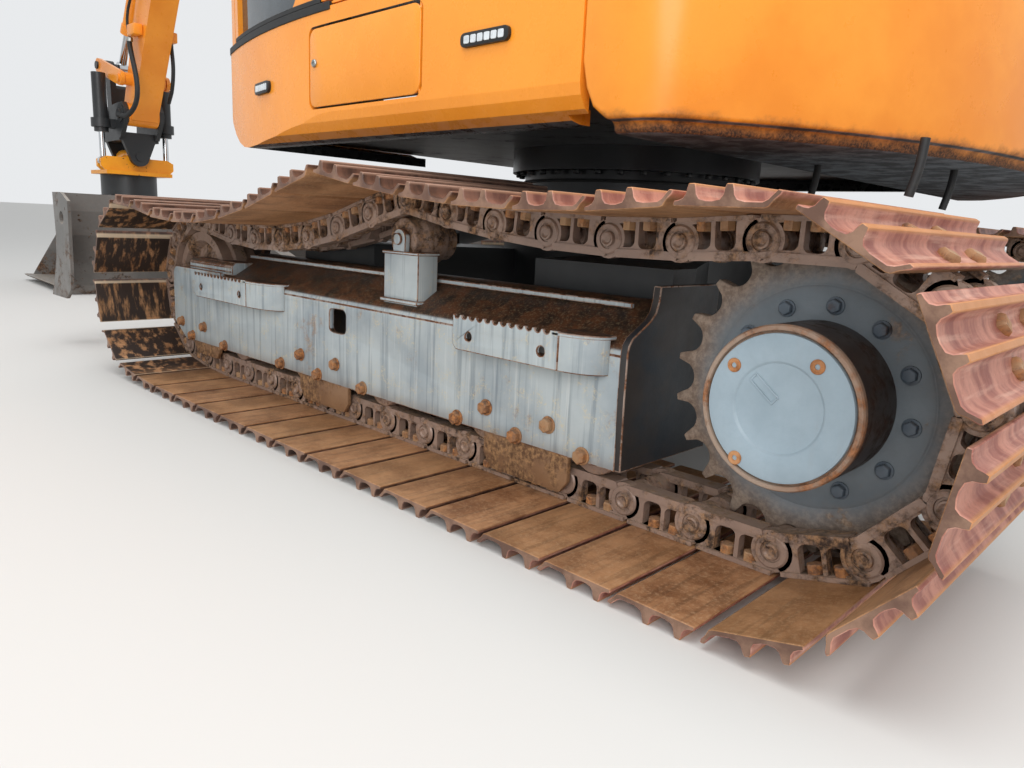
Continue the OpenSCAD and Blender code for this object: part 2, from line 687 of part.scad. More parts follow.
// Engine housing behind the cab, its hood, the right door and the tank's cover
house_y = skirt_y - 5;
house_z = skirt_top + seat;
house_top = 1560;
house_t = 12;
counterweight_top = 1470;
door_pin_r = 5;
side_door = [seam_x + running, -130, skirt_top + 8, house_top - house_t - 8];
side_door_axis = [side_door[0] + 6, -house_y + 8];
hood_axis = [seam_x - 30, 1575];
hood_hinge_y = [-650, -50];
hood_inset = 34;
hood_gap = 40;
hood_h = 110;
narrow_cover_h = 700;
module engine_house() {
    color(orange) difference() {
        union() {
            // narrow cover between the cab and the counterweight
            translate([seam_x, 190, house_z]) cube([cab_rear - seat - seam_x, house_y - 190, narrow_cover_h]);
            // roof, partition and posts of the engine bay
            translate([seam_x, -house_y, house_top - house_t]) cube([-124 - seam_x, house_y + 188, house_t]);
            translate([-124 - house_t, -house_y, house_z]) cube([house_t, house_y - bracket_y - bracket_t - running, house_top - house_z]);
            translate([seam_x, 176, house_z]) cube([400, house_t, house_top - house_z]);
            for (y = hood_hinge_y) for (u = [-34, 24]) side(y + u, 10) {
                polygon([[seam_x + 60, house_top - 2], [seam_x + 4, house_top - 2], hood_axis + [-12, 0], hood_axis + [8, 14]]);
                translate(hood_axis) circle(14);
            }
            for (y = hood_hinge_y) cross_bar(hood_axis, 8, y - 34, y + 34);
        }
        translate([side_door_axis[0], side_door_axis[1], house_top - house_t - 1]) cylinder(r = door_pin_r + fit, h = house_t + 2);
        translate([exhaust_at[0], exhaust_at[1], house_top - house_t - 1]) cylinder(r = 42 + 6, h = house_t + 2);
    }
}
module hood_outline(inset) {
    intersection() {
        tail_outline(inset);
        translate([-2000, -skirt_y]) square([2000 + hood_axis[0] - hood_gap + hood_inset - inset, 2 * skirt_y]);
    }
}
module engine_hood() {
    color(orange) difference() {
        union() {
            plan(counterweight_top + seat, hood_h) hood_outline(hood_inset);
            for (y = hood_hinge_y) {
                cross_bar(hood_axis, 14, y - 22, y + 22);
                translate([hood_axis[0] - 60, y - 22, counterweight_top + hood_h - 12]) cube([60, 44, 12]);
            }
        }
        plan(counterweight_top - 1, hood_h - house_t + 1) hood_outline(hood_inset + house_t);
        for (y = hood_hinge_y) cross_bar(hood_axis, 8 + fit, y - 23, y + 23);
    }
}
module side_door_right() {
    color(orange) {
        translate([side_door[0], -house_y, side_door[2]])
            cube([side_door[1] - house_t - side_door[0], 16, side_door[3] - side_door[2]]);
        translate([side_door_axis[0], side_door_axis[1], side_door[2] - 18])
            cylinder(r = door_pin_r, h = side_door[3] - side_door[2] + 36);
    }
}
tank_top = skirt_top + 420;
module tank_cover() {
    color(orange) intersection() {
        translate([-120, -house_y, house_z]) cube([1000, 680, tank_top - house_z]);
        on_right() plan(house_z, tank_top - house_z) skirt_plan(-cab_inset);
    }
}
engine_top = 1430;
exhaust_at = [-560, -500];
module exhaust() {
    color(dark) translate([exhaust_at[0], exhaust_at[1], engine_top + seat]) cylinder(r = 42, h = 330);
}
module engine_block() {
    color(dark) translate([-890, -720, deck_z + deck_t + seat]) cube([440, 880, engine_top - deck_z - deck_t - seat]);
}
rail_x = [100, 780];
rail_y = -house_y + 140;
rail_h = 480;
module rails_and_mirrors() {
    color(dark) {
        for (x = rail_x) translate([x, rail_y, tank_top + seat]) cylinder(r = 17, h = rail_h);
        translate([rail_x[0] - 17, rail_y, tank_top + rail_h]) rotate([0, 90, 0]) cylinder(r = 17, h = rail_x[1] - rail_x[0] + 34);
        // mirror on the cab's front post and mirror on the tank's rail
        translate([mirror_at[0], mirror_at[1] + seat, mirror_at[2]]) rotate([-90, 0, 0]) cylinder(r = 10, h = 90);
        translate([mirror_at[0] - 15, mirror_at[1] + 80, mirror_at[2] - 60]) cube([26, 170, 280]);
        translate([rail_x[1], rail_y, tank_top + rail_h - 10]) cylinder(r = 17, h = 120);
        translate([rail_x[1] - 10, rail_y - 100, tank_top + rail_h + 80]) cube([26, 180, 260]);
    }
}
// Lamps on the slope above the windscreen
module work_lamps() {
    slope = (cab_front[2] - cab_front[3]) / norm(cab_front[2] - cab_front[3]);
    face = [-slope[1], slope[0]];
    foot = cab_front[3] + 30 * slope + seat * face;
    color(dark) for (y = [cab_y0 + 120, nose_y - 120]) side(y - 50, 100)
        polygon([foot, foot + 80 * slope, foot + 80 * slope + 60 * face, foot + 60 * face]);
}

// Cab
cab_rear = -600;
cab_inset = 5;
cab_y1 = skirt_y - cab_inset;
cab_y0 = cab_y1 - cab_width;
cab_wall = 40;
cab_floor = skirt_top + 6;
// Front of the cab in side view, from the floor up to the roof
cab_front = [[965, cab_floor], [1000, 1500], [925, 2300], [700, cab_top]];
module cab_outline(inset = 0) {
    polygon([
        [cab_rear + inset, cab_floor + inset], [cab_rear + inset, 2250], [cab_rear + 80 + inset, cab_top - inset],
        cab_front[3] + [-inset, -inset], cab_front[2] + [-inset, 0], cab_front[1] + [-inset, 0], cab_front[0] + [-inset, inset]
    ]);
}
// Upright sheet that follows the bowed side from a depth inside its face
module bowed(depth, t) {
    plan(cab_floor - 10, cab_top - cab_floor) difference() {
        skirt_plan(-cab_inset - depth);
        skirt_plan(-cab_inset - depth - t);
    }
}
// Door and its opening in side view
door_pts = [[160, 1112], [160, 2560], [640, 2560], [830, 2250], [900, 1500], [880, 1112]];
door_opening = [[370, 1124], [215, 1290], [215, 2500], [610, 2500], [775, 2230], [850, 1500], [835, 1124]];
function shrunk(points, gap) = [for (p = points) p + [p[0] > 400 ? -gap : gap, p[1] > 1800 ? -gap : gap]];
door_t = 36;
door_depth = 200;
cab_post = 70;
mirror_at = [800, cab_y1 - bow(790), 2420];
screen_z0 = 1180;
screen_z1 = 2560;
screen_y1 = nose_y - 5;
function at_height(p, q, z) = [p[0] + (q[0] - p[0]) * (z - p[1]) / (q[1] - p[1]), z];
screen_line = [
    at_height(cab_front[0], cab_front[1], screen_z0 + seat), cab_front[1], cab_front[2],
    at_height(cab_front[2], cab_front[3], screen_z1 - seat)
];
hinge_at = [150, cab_y1 + 17];
hinge_z = [1300, 2350];
hinge_h = 60;
// Side windows as x, z, width, height
window_right = [-450, 1650, 1150, 850];
window_left = [-500, 1650, 560, 850];
window_rear = [cab_y0 + 90, 1700, cab_width - 180, 520];
module window(w, gap = 0) {
    rounded(w[0] + gap, w[1] + gap, w[2] - 2 * gap, w[3] - 2 * gap, 60 - gap);
}
module cab_shell() {
    color(orange) difference() {
        union() {
            intersection() {
                side(cab_y0, cab_width) cab_outline();
                plan(cab_floor, cab_top - cab_floor) skirt_plan(-cab_inset);
            }
            for (z = hinge_z) {
                translate([hinge_at[0], hinge_at[1], z - 10]) cylinder(r = 8, h = hinge_h + 20);
                for (u = [-11, hinge_h + 1]) translate([hinge_at[0] - 60, cab_y1 - 2, z + u]) cube([72, 31, 10]);
            }
        }
        intersection() {
            side(cab_y0 + cab_wall, cab_width) cab_outline(cab_wall);
            plan(cab_floor, cab_top - cab_floor) skirt_plan(-cab_inset - cab_wall);
        }
        translate([640, cab_y0 + cab_post, screen_z0]) cube([600, screen_y1 - cab_y0 - cab_post, screen_z1 - screen_z0]);
        intersection() {
            bowed(-1, cab_wall + 21);
            side(cab_y1 - door_depth, door_depth + 1) polygon(door_pts);
        }
        side(cab_y0 - 10, 60) window(window_right);
        side(cab_y1 - 50, 60) window(window_left);
        front(cab_rear - 10, 60) window(window_rear);
    }
}
module cab_door() {
    color(orange) difference() {
        union() {
            intersection() {
                bowed(0, door_t);
                side(cab_y1 - door_depth, door_depth) polygon(shrunk(door_pts, 6));
            }
            for (z = hinge_z) {
                translate([hinge_at[0], hinge_at[1], z]) cylinder(r = 15, h = hinge_h);
                translate([hinge_at[0], cab_y1 + 3, z]) cube([66, 12, hinge_h]);
                translate([hinge_at[0] + 30, cab_y1 - 2, z]) cube([36, 10, hinge_h]);
            }
        }
        side(cab_y1 - door_depth, door_depth + 1) polygon(door_opening);
        for (z = hinge_z) translate([hinge_at[0], hinge_at[1], z - 1]) cylinder(r = 8 + fit, h = hinge_h + 2);
    }
}
module cab_glass() {
    color(glass_grey) {
        front(cab_rear + 6, 6) window(window_rear, seat);
        side(cab_y0 + 14, 6) window(window_right, seat);
        side(cab_y1 - 20, 6) window(window_left, seat);
        side(cab_y0 + cab_post + seat, screen_y1 - cab_y0 - cab_post - 2 * seat) difference() {
            polygon(concat([for (p = screen_line) p - [8, 0]], [for (i = [3 : -1 : 0]) screen_line[i] - [14, 0]]));
        }
    }
}
module door_glass() {
    color(glass_grey) intersection() {
        bowed(16, 6);
        side(cab_y1 - door_depth, door_depth) polygon(shrunk(door_opening, seat));
    }
}
module operator_seat() {
    color(dark) {
        translate([-300, cab_y0 + 200, cab_floor + cab_wall + seat]) cube([480, 480, 380]);
        translate([-400, cab_y0 + 220, cab_floor + 400]) cube([150, 440, 650]);
    }
}

// Boom: a box beam with a bend, bosses at its pins and lugs for the cylinders
boom_outline = [
    [-70, -60], [60, -100], [800, 170], [1300, 370], [1700, 420], [2300, 290], [3290, -50],
    [3290, 105], [3100, 185], [2400, 560], [1800, 798], [1500, 850], [1200, 780], [500, 430], [-70, 80]
];
arm_pin_r = 42;
boom_reach = 1010;
boom_rod_start = 585;
module boom() {
    color(orange) difference() {
        union() {
            side(-boom_width / 2, boom_width) {
                polygon([for (p = boom_outline) boom_at(p[0], p[1])]);
                translate(boom_foot) circle(100);
            }
            for (s = [-1, 1]) side(s * (boom_width / 2 - 14) - 14, 28) strap(boom_at(3100, 60), boom_tip, 98);
            cross_bar(boom_tip, arm_pin_r, -boom_width / 2 - 16, boom_width / 2 + 16);
            ears(arm_cylinder_foot, 0, 64, 34, 66, 32) polygon([
                boom_at(1560, 740), boom_at(1640, 925), boom_at(1760, 925), boom_at(1900, 680)
            ]);
            for (s = [-1, 1]) cross_bar(boom_eye, 60, s > 0 ? 1 : -ram_y + ram_eye_w / 2 + 2, s > 0 ? ram_y - ram_eye_w / 2 - 2 : -1);
        }
        cross_bar(boom_foot, boom_pin_r + fit, -boom_width / 2 - 1, boom_width / 2 + 1);
    }
}
module boom_cylinder_barrels() {
    color(orange) for (s = [-1, 1])
        ram_barrel(boom_cylinder_foot, boom_eye, s * ram_y, ram_tube_r, 28, 74, boom_reach, 54, ram_eye_w, 30);
}
module boom_cylinder_rods() {
    color(chrome) for (s = [-1, 1])
        ram_rod(boom_cylinder_foot, boom_eye, s * ram_y, 28, boom_rod_start, 52, ram_eye_w);
}

// Arm with its rear lug, bosses and the bucket cylinder's lugs
arm_outline = [
    [-460, 20], [-440, 130], [-380, 150], [0, 190], [250, 200], [500, 150], [1700, 85], [1785, 0], [1700, -85],
    [1500, -95], [300, -130], [0, -120], [-300, -10]
];
arm_reach = 1250;
arm_rod_start = 900;
bucket_reach = 1000;
bucket_rod_start = 580;
tip_pin_r = 32;
module arm() {
    color(orange) difference() {
        union() {
            side(-arm_width / 2, arm_width) polygon([for (p = arm_outline) arm_at(p[0], p[1])]);
            cross_bar(boom_tip, 95, -arm_width / 2, arm_width / 2);
            cross_bar(arm_tip, 78, -arm_width / 2 - 14, arm_width / 2 + 14);
            ears(arm_eye, 0, 64, 30, 62) polygon([arm_at(-300, 10), arm_at(-440, 5), arm_at(-455, 90), arm_at(-300, 150)]);
            ears(bucket_cylinder_foot, 0, 60, 28, 56, 28) polygon([
                arm_at(130, 150), arm_at(235, 350), arm_at(340, 350), arm_at(420, 120)
            ]);
            cross_bar(rocker_foot, link_pin_r, -rocker_y - rocker_t - 12, rocker_y + rocker_t + 12);
            cross_bar(rocker_foot, 42, -rocker_y + 5, rocker_y - 5);
        }
        cross_bar(boom_tip, arm_pin_r + fit, -arm_width, arm_width);
        cross_bar(arm_tip, tip_pin_r + fit, -arm_width, arm_width);
        // pocket between the ears of the arm cylinder
        side(-32, 64) polygon([arm_at(-290, -60), arm_at(-520, -60), arm_at(-520, 220), arm_at(-290, 220)]);
    }
}
module arm_cylinder_barrel() {
    color(orange) ram_barrel(arm_cylinder_foot, arm_eye, 0, 50, 28, 170, arm_reach, 56, 60, 32);
}
module arm_cylinder_rod() {
    color(chrome) ram_rod(arm_cylinder_foot, arm_eye, 0, 28, arm_rod_start, 52, 60);
}
module bucket_cylinder_barrel() {
    color(dark) ram_barrel(bucket_cylinder_foot, rocker_eye, 0, 44, 25, 90, bucket_reach, 48, 56, 28);
}
module bucket_cylinder_rod() {
    color(chrome) ram_rod(bucket_cylinder_foot, rocker_eye, 0, 25, bucket_rod_start, 46, 56);
}
rocker_t = 24;
rocker_y = arm_width / 2 + 53;
link_y = arm_width / 2 - 6;
link_t = 40;
link_pin_r = 26;
module rocker() {
    color(orange) difference() {
        for (s = [-1, 1]) side(s * (rocker_y + rocker_t / 2) - rocker_t / 2, rocker_t) strap(rocker_foot, rocker_eye, 48);
        cross_bar(rocker_foot, link_pin_r + fit, -rocker_y - 40, rocker_y + 40);
        cross_bar(rocker_eye, link_pin_r + fit, -rocker_y - 40, rocker_y + 40);
    }
}
module bucket_link() {
    color(dark) {
        for (s = [-1, 1]) {
            side(s * link_y - link_t / 2, link_t) strap(rocker_eye, hitch_pin, 42);
            cross_bar(rocker_eye, 40, s > 0 ? link_y + link_t / 2 - 1 : -rocker_y + 5, s > 0 ? rocker_y - 5 : 1 - link_y - link_t / 2);
            cross_bar(rocker_eye, link_pin_r, s > 0 ? 32 : -rocker_y - rocker_t - 12, s > 0 ? rocker_y + rocker_t + 12 : -32);
        }
        side(-link_y, 2 * link_y) strap(towards(rocker_eye, hitch_pin, 150), towards(hitch_pin, rocker_eye, 100), 28);
    }
}

// Tiltrotator: head on the arm, upright rams on its sides, frame that tilts about X, and rotator
head_x0 = arm_tip[0] + 48;
head_x1 = hitch_pin[0] + 100;
ear_y = arm_width / 2 + 18;
ear_t = 30;
lug_t = 38;
tilt_shaft_r = 30;
ram_x = arm_tip[0] + 142;
ram_clamp_z = tilt_z + 217;
ram_top_z = tilt_z + 552;
tilt_eye_z = tilt_z - 43;
tilt_ram_r = 46;
tilt_rod_r = 20;
module tilt_head() {
    color(dark) {
        for (s = [-1, 1]) side(s * (ear_y + ear_t / 2) - ear_t / 2, ear_t) {
            polygon([
                arm_tip + [-72, 30], arm_tip + [-40, 78], arm_tip + [40, 78], hitch_pin + [-20, 62], hitch_pin + [40, 62],
                hitch_pin + [72, 20], hitch_pin + [90, -150], arm_tip + [30, -160], arm_tip + [-70, -40]
            ]);
        }
        for (p = [arm_tip, hitch_pin]) for (s = [-1, 1]) cross_bar(p, 58, s > 0 ? ear_y : -ear_y - ear_t - 8, s > 0 ? ear_y + ear_t + 8 : -ear_y);
        cross_bar(arm_tip, tip_pin_r, -ear_y - ear_t - 20, ear_y + ear_t + 20);
        // body below the arm's tip
        translate([head_x0, -ear_y - ear_t, tilt_z + 105]) cube([head_x1 - head_x0, 2 * (ear_y + ear_t), 60]);
        // lugs that carry the tilt shaft
        for (x = [head_x0, head_x1 - lug_t]) front(x, lug_t) {
            polygon([[-ear_y - ear_t, tilt_z + 165], [-62, tilt_z - 20], [62, tilt_z - 20], [ear_y + ear_t, tilt_z + 165]]);
            translate([0, tilt_z]) circle(66);
        }
        translate([head_x0 - 6, 0, tilt_z]) rotate([0, 90, 0]) cylinder(r = tilt_shaft_r, h = head_x1 - head_x0 + 12);
        // clamps that hold the rams
        for (s = [-1, 1]) plan(ram_clamp_z - 30, 60) difference() {
            union() {
                translate([ram_x, s * tilt_pin_y]) circle(tilt_ram_r + 18);
                translate([ram_x - 40, s > 0 ? ear_y : -tilt_pin_y]) square([80, tilt_pin_y - ear_y]);
            }
            translate([ram_x, s * tilt_pin_y]) circle(tilt_ram_r + fit);
        }
    }
}
module tilt_barrel(s) {
    color(dark) difference() {
        union() {
            translate([ram_x, s * tilt_pin_y, ram_clamp_z - 60]) cylinder(r = tilt_ram_r, h = ram_top_z - ram_clamp_z + 60);
        }
        translate([ram_x, s * tilt_pin_y, ram_clamp_z - 61]) cylinder(r = tilt_rod_r + fit, h = ram_top_z - ram_clamp_z + 40);
    }
}
module tilt_rod(s) {
    color(chrome) {
        translate([ram_x, s * tilt_pin_y, tilt_eye_z + 20]) cylinder(r = tilt_rod_r, h = 390);
        translate([ram_x - 20, s * tilt_pin_y, tilt_eye_z]) rotate([0, 90, 0]) cylinder(r = 34, h = 40);
    }
}
module tilt_barrels() {
    tilt_barrel(1);
    tilt_barrel(-1);
}
module tilt_rod_left() tilt_rod(1);
module tilt_rod_right() tilt_rod(-1);
frame_x0 = head_x0 + lug_t + 4;
frame_x1 = head_x1 - lug_t - 4;
module tilt_frame() {
    color(tilt_yellow) difference() {
        union() {
            // bearing tube round the tilt shaft
            translate([frame_x0, 0, tilt_z]) rotate([0, 90, 0]) cylinder(r = 60, h = frame_x1 - frame_x0);
            // cheeks each side of the rams' eyes
            for (x = [ram_x - 24 - 26, ram_x + 24]) front(x, 26) polygon([
                [-tilt_pin_y, tilt_z - 110], [-tilt_pin_y - 32, tilt_z - 80], [-tilt_pin_y - 32, tilt_z - 30], [-tilt_pin_y + 10, tilt_z - 8],
                [-90, tilt_z - 8], [-50, tilt_z + 20], [50, tilt_z + 20], [90, tilt_z - 8],
                [tilt_pin_y - 10, tilt_z - 8], [tilt_pin_y + 32, tilt_z - 30], [tilt_pin_y + 32, tilt_z - 80], [tilt_pin_y, tilt_z - 110]
            ]);
            translate([head_x0 + 10, -tilt_pin_y - 8, tilt_z - 130]) cube([head_x1 - head_x0 - 20, 2 * tilt_pin_y + 16, 26]);
        }
        translate([frame_x0 - 1, 0, tilt_z]) rotate([0, 90, 0]) cylinder(r = tilt_shaft_r + fit, h = frame_x1 - frame_x0 + 2);
    }
}
rotator_top = tilt_z - 130 - seat;
rotator_base = bucket_top_z + seat;
module rotator() {
    color(dark) {
        translate([rotator_x, 0, rotator_base + 80]) cylinder(r = 190, h = rotator_top - rotator_base - 80);
        translate([rotator_x, 0, rotator_base]) rotate([0, 0, bucket_yaw]) translate([-170, -150, 0]) cube([340, 300, 82]);
    }
}

// Bucket, drawn with its mouth towards +X and then turned about the rotator
bucket_outline = [
    [620, 45], [600, 30], [150, 8], [-60, 12], [-190, 90], [-230, 230], [-200, 400], [-110, 540], [20, 590], [250, 590],
    [260, 574], [30, 572], [-95, 525], [-182, 395], [-212, 230], [-175, 102], [-55, 30], [150, 26], [600, 48]
];
bucket_cheek = [[560, 40], [150, 10], [-60, 14], [-190, 92], [-230, 230], [-200, 400], [-110, 540], [20, 590], [230, 590], [300, 500]];
module bucket() {
    color(undercarriage_grey) translate([rotator_x, 0, 0]) rotate([0, 0, bucket_yaw]) {
        side(-bucket_width / 2, bucket_width) polygon(bucket_outline);
        for (y = [-bucket_width / 2, bucket_width / 2 - 16]) side(y, 16) polygon(bucket_cheek);
    }
}

centre_frame();
track_frame_left();
track_frame_right();
track_left();
track_right();
sprockets();
final_drives();
idlers();
rollers();
swing_ring();
dozer_blade();
blade_frame();
blade_cylinder_barrel();
blade_cylinder_rod();
upper_frame();
turntable_ring();
counterweight();
skirts();
service_hatch();
engine_house();
engine_hood();
engine_block();
side_door_right();
tank_cover();
cab_shell();
cab_glass();
operator_seat();
cab_door();
door_glass();
rails_and_mirrors();
work_lamps();
exhaust();
boom();
boom_cylinder_barrels();
boom_cylinder_rods();
arm();
arm_cylinder_barrel();
arm_cylinder_rod();
bucket_cylinder_barrel();
bucket_cylinder_rod();
rocker();
bucket_link();
tilt_head();
tilt_barrels();
tilt_rod_left();
tilt_rod_right();
tilt_frame();
rotator();
bucket();
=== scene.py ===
"""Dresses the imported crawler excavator: detailed tracks, worn paint, hoses, fasteners and the studio round it."""

import json
import math

import bmesh
import bpy
from bpy.props import FloatProperty, PointerProperty, StringProperty
from mathutils import Matrix, Vector
from mathutils.geometry import tessellate_polygon

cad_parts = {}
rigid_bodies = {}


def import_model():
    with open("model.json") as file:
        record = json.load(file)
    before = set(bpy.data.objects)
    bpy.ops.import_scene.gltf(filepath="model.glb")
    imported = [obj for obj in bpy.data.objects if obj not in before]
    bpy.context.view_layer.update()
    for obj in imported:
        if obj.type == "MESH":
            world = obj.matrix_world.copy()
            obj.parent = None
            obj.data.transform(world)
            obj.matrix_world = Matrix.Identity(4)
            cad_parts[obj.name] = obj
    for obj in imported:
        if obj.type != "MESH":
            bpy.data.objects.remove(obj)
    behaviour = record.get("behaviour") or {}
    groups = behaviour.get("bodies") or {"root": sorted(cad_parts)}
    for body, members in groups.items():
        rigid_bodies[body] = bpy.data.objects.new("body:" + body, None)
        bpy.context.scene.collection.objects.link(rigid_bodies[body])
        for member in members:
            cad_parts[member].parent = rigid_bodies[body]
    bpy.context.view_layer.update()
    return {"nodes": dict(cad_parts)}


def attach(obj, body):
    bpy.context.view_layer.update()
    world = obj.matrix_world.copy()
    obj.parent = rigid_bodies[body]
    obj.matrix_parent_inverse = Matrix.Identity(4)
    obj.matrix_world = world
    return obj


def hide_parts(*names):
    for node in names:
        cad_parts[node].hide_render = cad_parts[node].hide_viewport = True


bl_info = {
    "name": "Crawler excavator dressing",
    "version": (1, 0, 0),
    "blender": (4, 5, 0),
    "location": "View3D > Sidebar > Excavator",
    "description": "Builds the looks of a crawler excavator round its CAD frame",
    "category": "Object",
}

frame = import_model()
MM = 0.001

# The course of the chain in side view, in millimetres, as the part's source has it
PITCH = 154.0
LINKS = 39
TEETH = 21
CHAIN_Y = 935.0
PIN_HEIGHT = 41.5
RAIL_HEIGHT = 34.0
PIN_Z = 72.5
SPROCKET_RADIUS = PITCH / (2 * math.sin(math.radians(360 / TEETH)))
SPROCKET = Vector((-1090.0, PIN_Z + SPROCKET_RADIUS))
IDLER = Vector((1140.0, 324.5))
IDLER_PINS = 240.0
CARRIER_TOP = Vector((-32.0, 648.0))
FRAME_FACE = 1040.0
# Half of a shoe's width
SHOE_HALF = 336.0
# First pin's place along the chain's course, the links between which the slack lies, and the sags before and after the
# carrier roller
FIRST_PIN = 13.0
SLACK_FROM, SLACK_TO = 19, LINKS - 6
SAGS = (86, 40)
# Sprocket: how far the tips stand past the pins' circle, and the radius of the scallops between them
TIP_REACH = 8.0
SCALLOP_RADIUS = 30.0
# Plan of the left side panels: half width, where the bow starts and its radius, the corner's centre and radius
FLANK = 1085.0
BOW_START = 159.0
BOW_RADIUS = 2645.0
CORNER = (890.0, 857.0)
CORNER_RADIUS = 120.0
# Last point of the bow, as x and as degrees round the corner, and where the seal ends on the front
BOW_END = 923
CORNER_TURN = 74
SEAL_END = 300.0
# Swing ring: radius of its bolts and their count, height of the bolts' seat and of the seal's lip
RING_BOLT_RADIUS = 390.0
RING_BOLTS = 36
RING_SEAT = 765.0
RING_LIP = 735.0
# Underside of the counterweight, where the drain hoses leave it
DRAIN_EXIT = 772.0
DRAIN_DIAMETER = 16.0


def linear(code, alpha=1.0):
    """Linear colour of an sRGB hex value such as 'F59A2E'."""
    values = [int(code[i : i + 2], 16) / 255 for i in (0, 2, 4)]
    return tuple(v / 12.92 if v <= 0.04045 else ((v + 0.055) / 1.055) ** 2.4 for v in values) + (alpha,)


PLACES = {
    "X": lambda a, b, t: (t, a, b),
    "Y": lambda a, b, t: (a, t, b),
    "Z": lambda a, b, t: (a, b, t),
}


def ring_faces(rings, sides):
    """Faces between rings of points that follow each other, and the two faces that close the ends."""
    faces = []
    for k in range(0, (rings - 1) * sides, sides):
        for i in range(sides):
            j = (i + 1) % sides
            faces.append([k + i, k + j, k + sides + j, k + sides + i])
    return faces + [list(range(sides))[::-1], list(range((rings - 1) * sides, rings * sides))]


class Shape:
    """Faces of one piece in millimetres, gathered before they become a mesh."""

    def __init__(self):
        self.points = []
        self.faces = []
        self.marks = []

    def add(self, points, faces, mark=0.0):
        start = len(self.points)
        self.points += [Vector(p) for p in points]
        self.faces += [[start + i for i in face] for face in faces]
        self.marks += [mark] * len(points)
        return self

    def join(self, other):
        """Takes in another shape's faces."""
        return self.add(other.points, other.faces)

    def prism(self, outline, axis, low, high, mark=0.0):
        """Outline extruded along an axis: (x, z) along Y, (y, z) along X, (x, y) along Z."""
        place = PLACES[axis]
        n = len(outline)
        points = [place(a, b, t) for t in (low, high) for a, b in outline]
        sides = [[i, (i + 1) % n, n + (i + 1) % n, n + i] for i in range(n)]
        return self.add(points, [list(range(n))[::-1], list(range(n, 2 * n))] + sides, mark)

    def plate(self, loops, axis, low, high, mark=0.0):
        """Outline with holes in it, the first loop being the outline, extruded along an axis."""
        place = PLACES[axis]
        caps = tessellate_polygon([[Vector((a, b, 0)) for a, b in loop] for loop in loops])
        flat = [p for loop in loops for p in loop]
        n = len(flat)
        faces = [list(cap)[::-1] for cap in caps] + [[n + i for i in cap] for cap in caps]
        start = 0
        for loop in loops:
            k = len(loop)
            faces += [[start + i, start + (i + 1) % k, n + start + (i + 1) % k, n + start + i] for i in range(k)]
            start += k
        return self.add([place(a, b, t) for t in (low, high) for a, b in flat], faces, mark)

    def box(self, low, high, mark=0.0):
        outline = [(low[0], low[1]), (high[0], low[1]), (high[0], high[1]), (low[0], high[1])]
        return self.prism(outline, "Z", low[2], high[2], mark)

    def turned(self, centre, axis, profile, sides=32, mark=0.0):
        """Profile of (radius, along) turned about an axis; a radius may be a function of the turn."""
        u, v, w = {"X": (1, 2, 0), "Y": (2, 0, 1), "Z": (0, 1, 2)}[axis]
        points = []
        for radius, along in profile:
            for i in range(sides):
                p = [0.0, 0.0, 0.0]
                a = 2 * math.pi * i / sides
                r = radius(a) if callable(radius) else radius
                p[u] = centre[u] + r * math.cos(a)
                p[v] = centre[v] + r * math.sin(a)
                p[w] = centre[w] + along
                points.append(p)
        return self.add(points, ring_faces(len(profile), sides), mark)

    def tube(self, path, radius, sides=12, mark=0.0):
        """Round tube along a path of points, closed at both ends."""
        path = [Vector(p) for p in path]
        points, normal = [], None
        for i, p in enumerate(path):
            ahead = (path[min(i + 1, len(path) - 1)] - path[max(i - 1, 0)]).normalized()
            if normal is None:
                normal = ahead.orthogonal().normalized()
            normal = (normal - ahead * normal.dot(ahead)).normalized()
            other = ahead.cross(normal)
            for k in range(sides):
                a = 2 * math.pi * k / sides
                points.append(p + radius * (normal * math.cos(a) + other * math.sin(a)))
        return self.add(points, ring_faces(len(path), sides), mark)

    def bolt(self, centre, axis, side, across, height, washer=0.0):
        """Hexagon head standing on a face, with its washer; side is +1 or -1 along the axis."""
        r = across / math.sqrt(3)
        if washer:
            self.turned(centre, axis, [(washer, 0), (washer, side * 3)], 20)
        profile = [(r, 0), (r, side * (height - 2)), (r * 0.86, side * height)]
        return self.turned(centre, axis, profile, 6)

    def moved(self, matrix):
        self.points = [matrix @ p for p in self.points]
        return self

    def mirrored(self):
        """Adds the same faces on the machine's other side."""
        n = len(self.points)
        self.points += [Vector((p.x, -p.y, p.z)) for p in self.points]
        self.faces += [[n + i for i in reversed(face)] for face in self.faces]
        self.marks += self.marks
        return self

    def mesh(self, name):
        made = bpy.data.meshes.new(name)
        made.from_pydata([p * MM for p in self.points], [], self.faces)
        if any(self.marks):
            mark = made.attributes.new("mark", "FLOAT", "POINT")
            mark.data.foreach_set("value", self.marks)
        work = bmesh.new()
        work.from_mesh(made)
        bmesh.ops.recalc_face_normals(work, faces=work.faces)
        work.to_mesh(made)
        work.free()
        return made


def smooth_path(points, steps=6):
    """Catmull-Rom curve through the points."""
    p = [Vector(q) for q in points]
    p = [2 * p[0] - p[1]] + p + [2 * p[-1] - p[-2]]
    made = []
    for i in range(1, len(p) - 2):
        for k in range(steps):
            t = k / steps
            a, b, c, d = p[i - 1 : i + 3]
            made.append(
                0.5 * (2 * b + (c - a) * t + (2 * a - 5 * b + 4 * c - d) * t * t + (3 * b - a - 3 * c + d) * t * t * t)
            )
    return made + [p[-2]]


def round_part(cx, cz, radius, start, end, steps):
    """Points of an arc in degrees."""
    turns = [math.radians(start + (end - start) * k / steps) for k in range(steps + 1)]
    return [(cx + radius * math.cos(a), cz + radius * math.sin(a)) for a in turns]


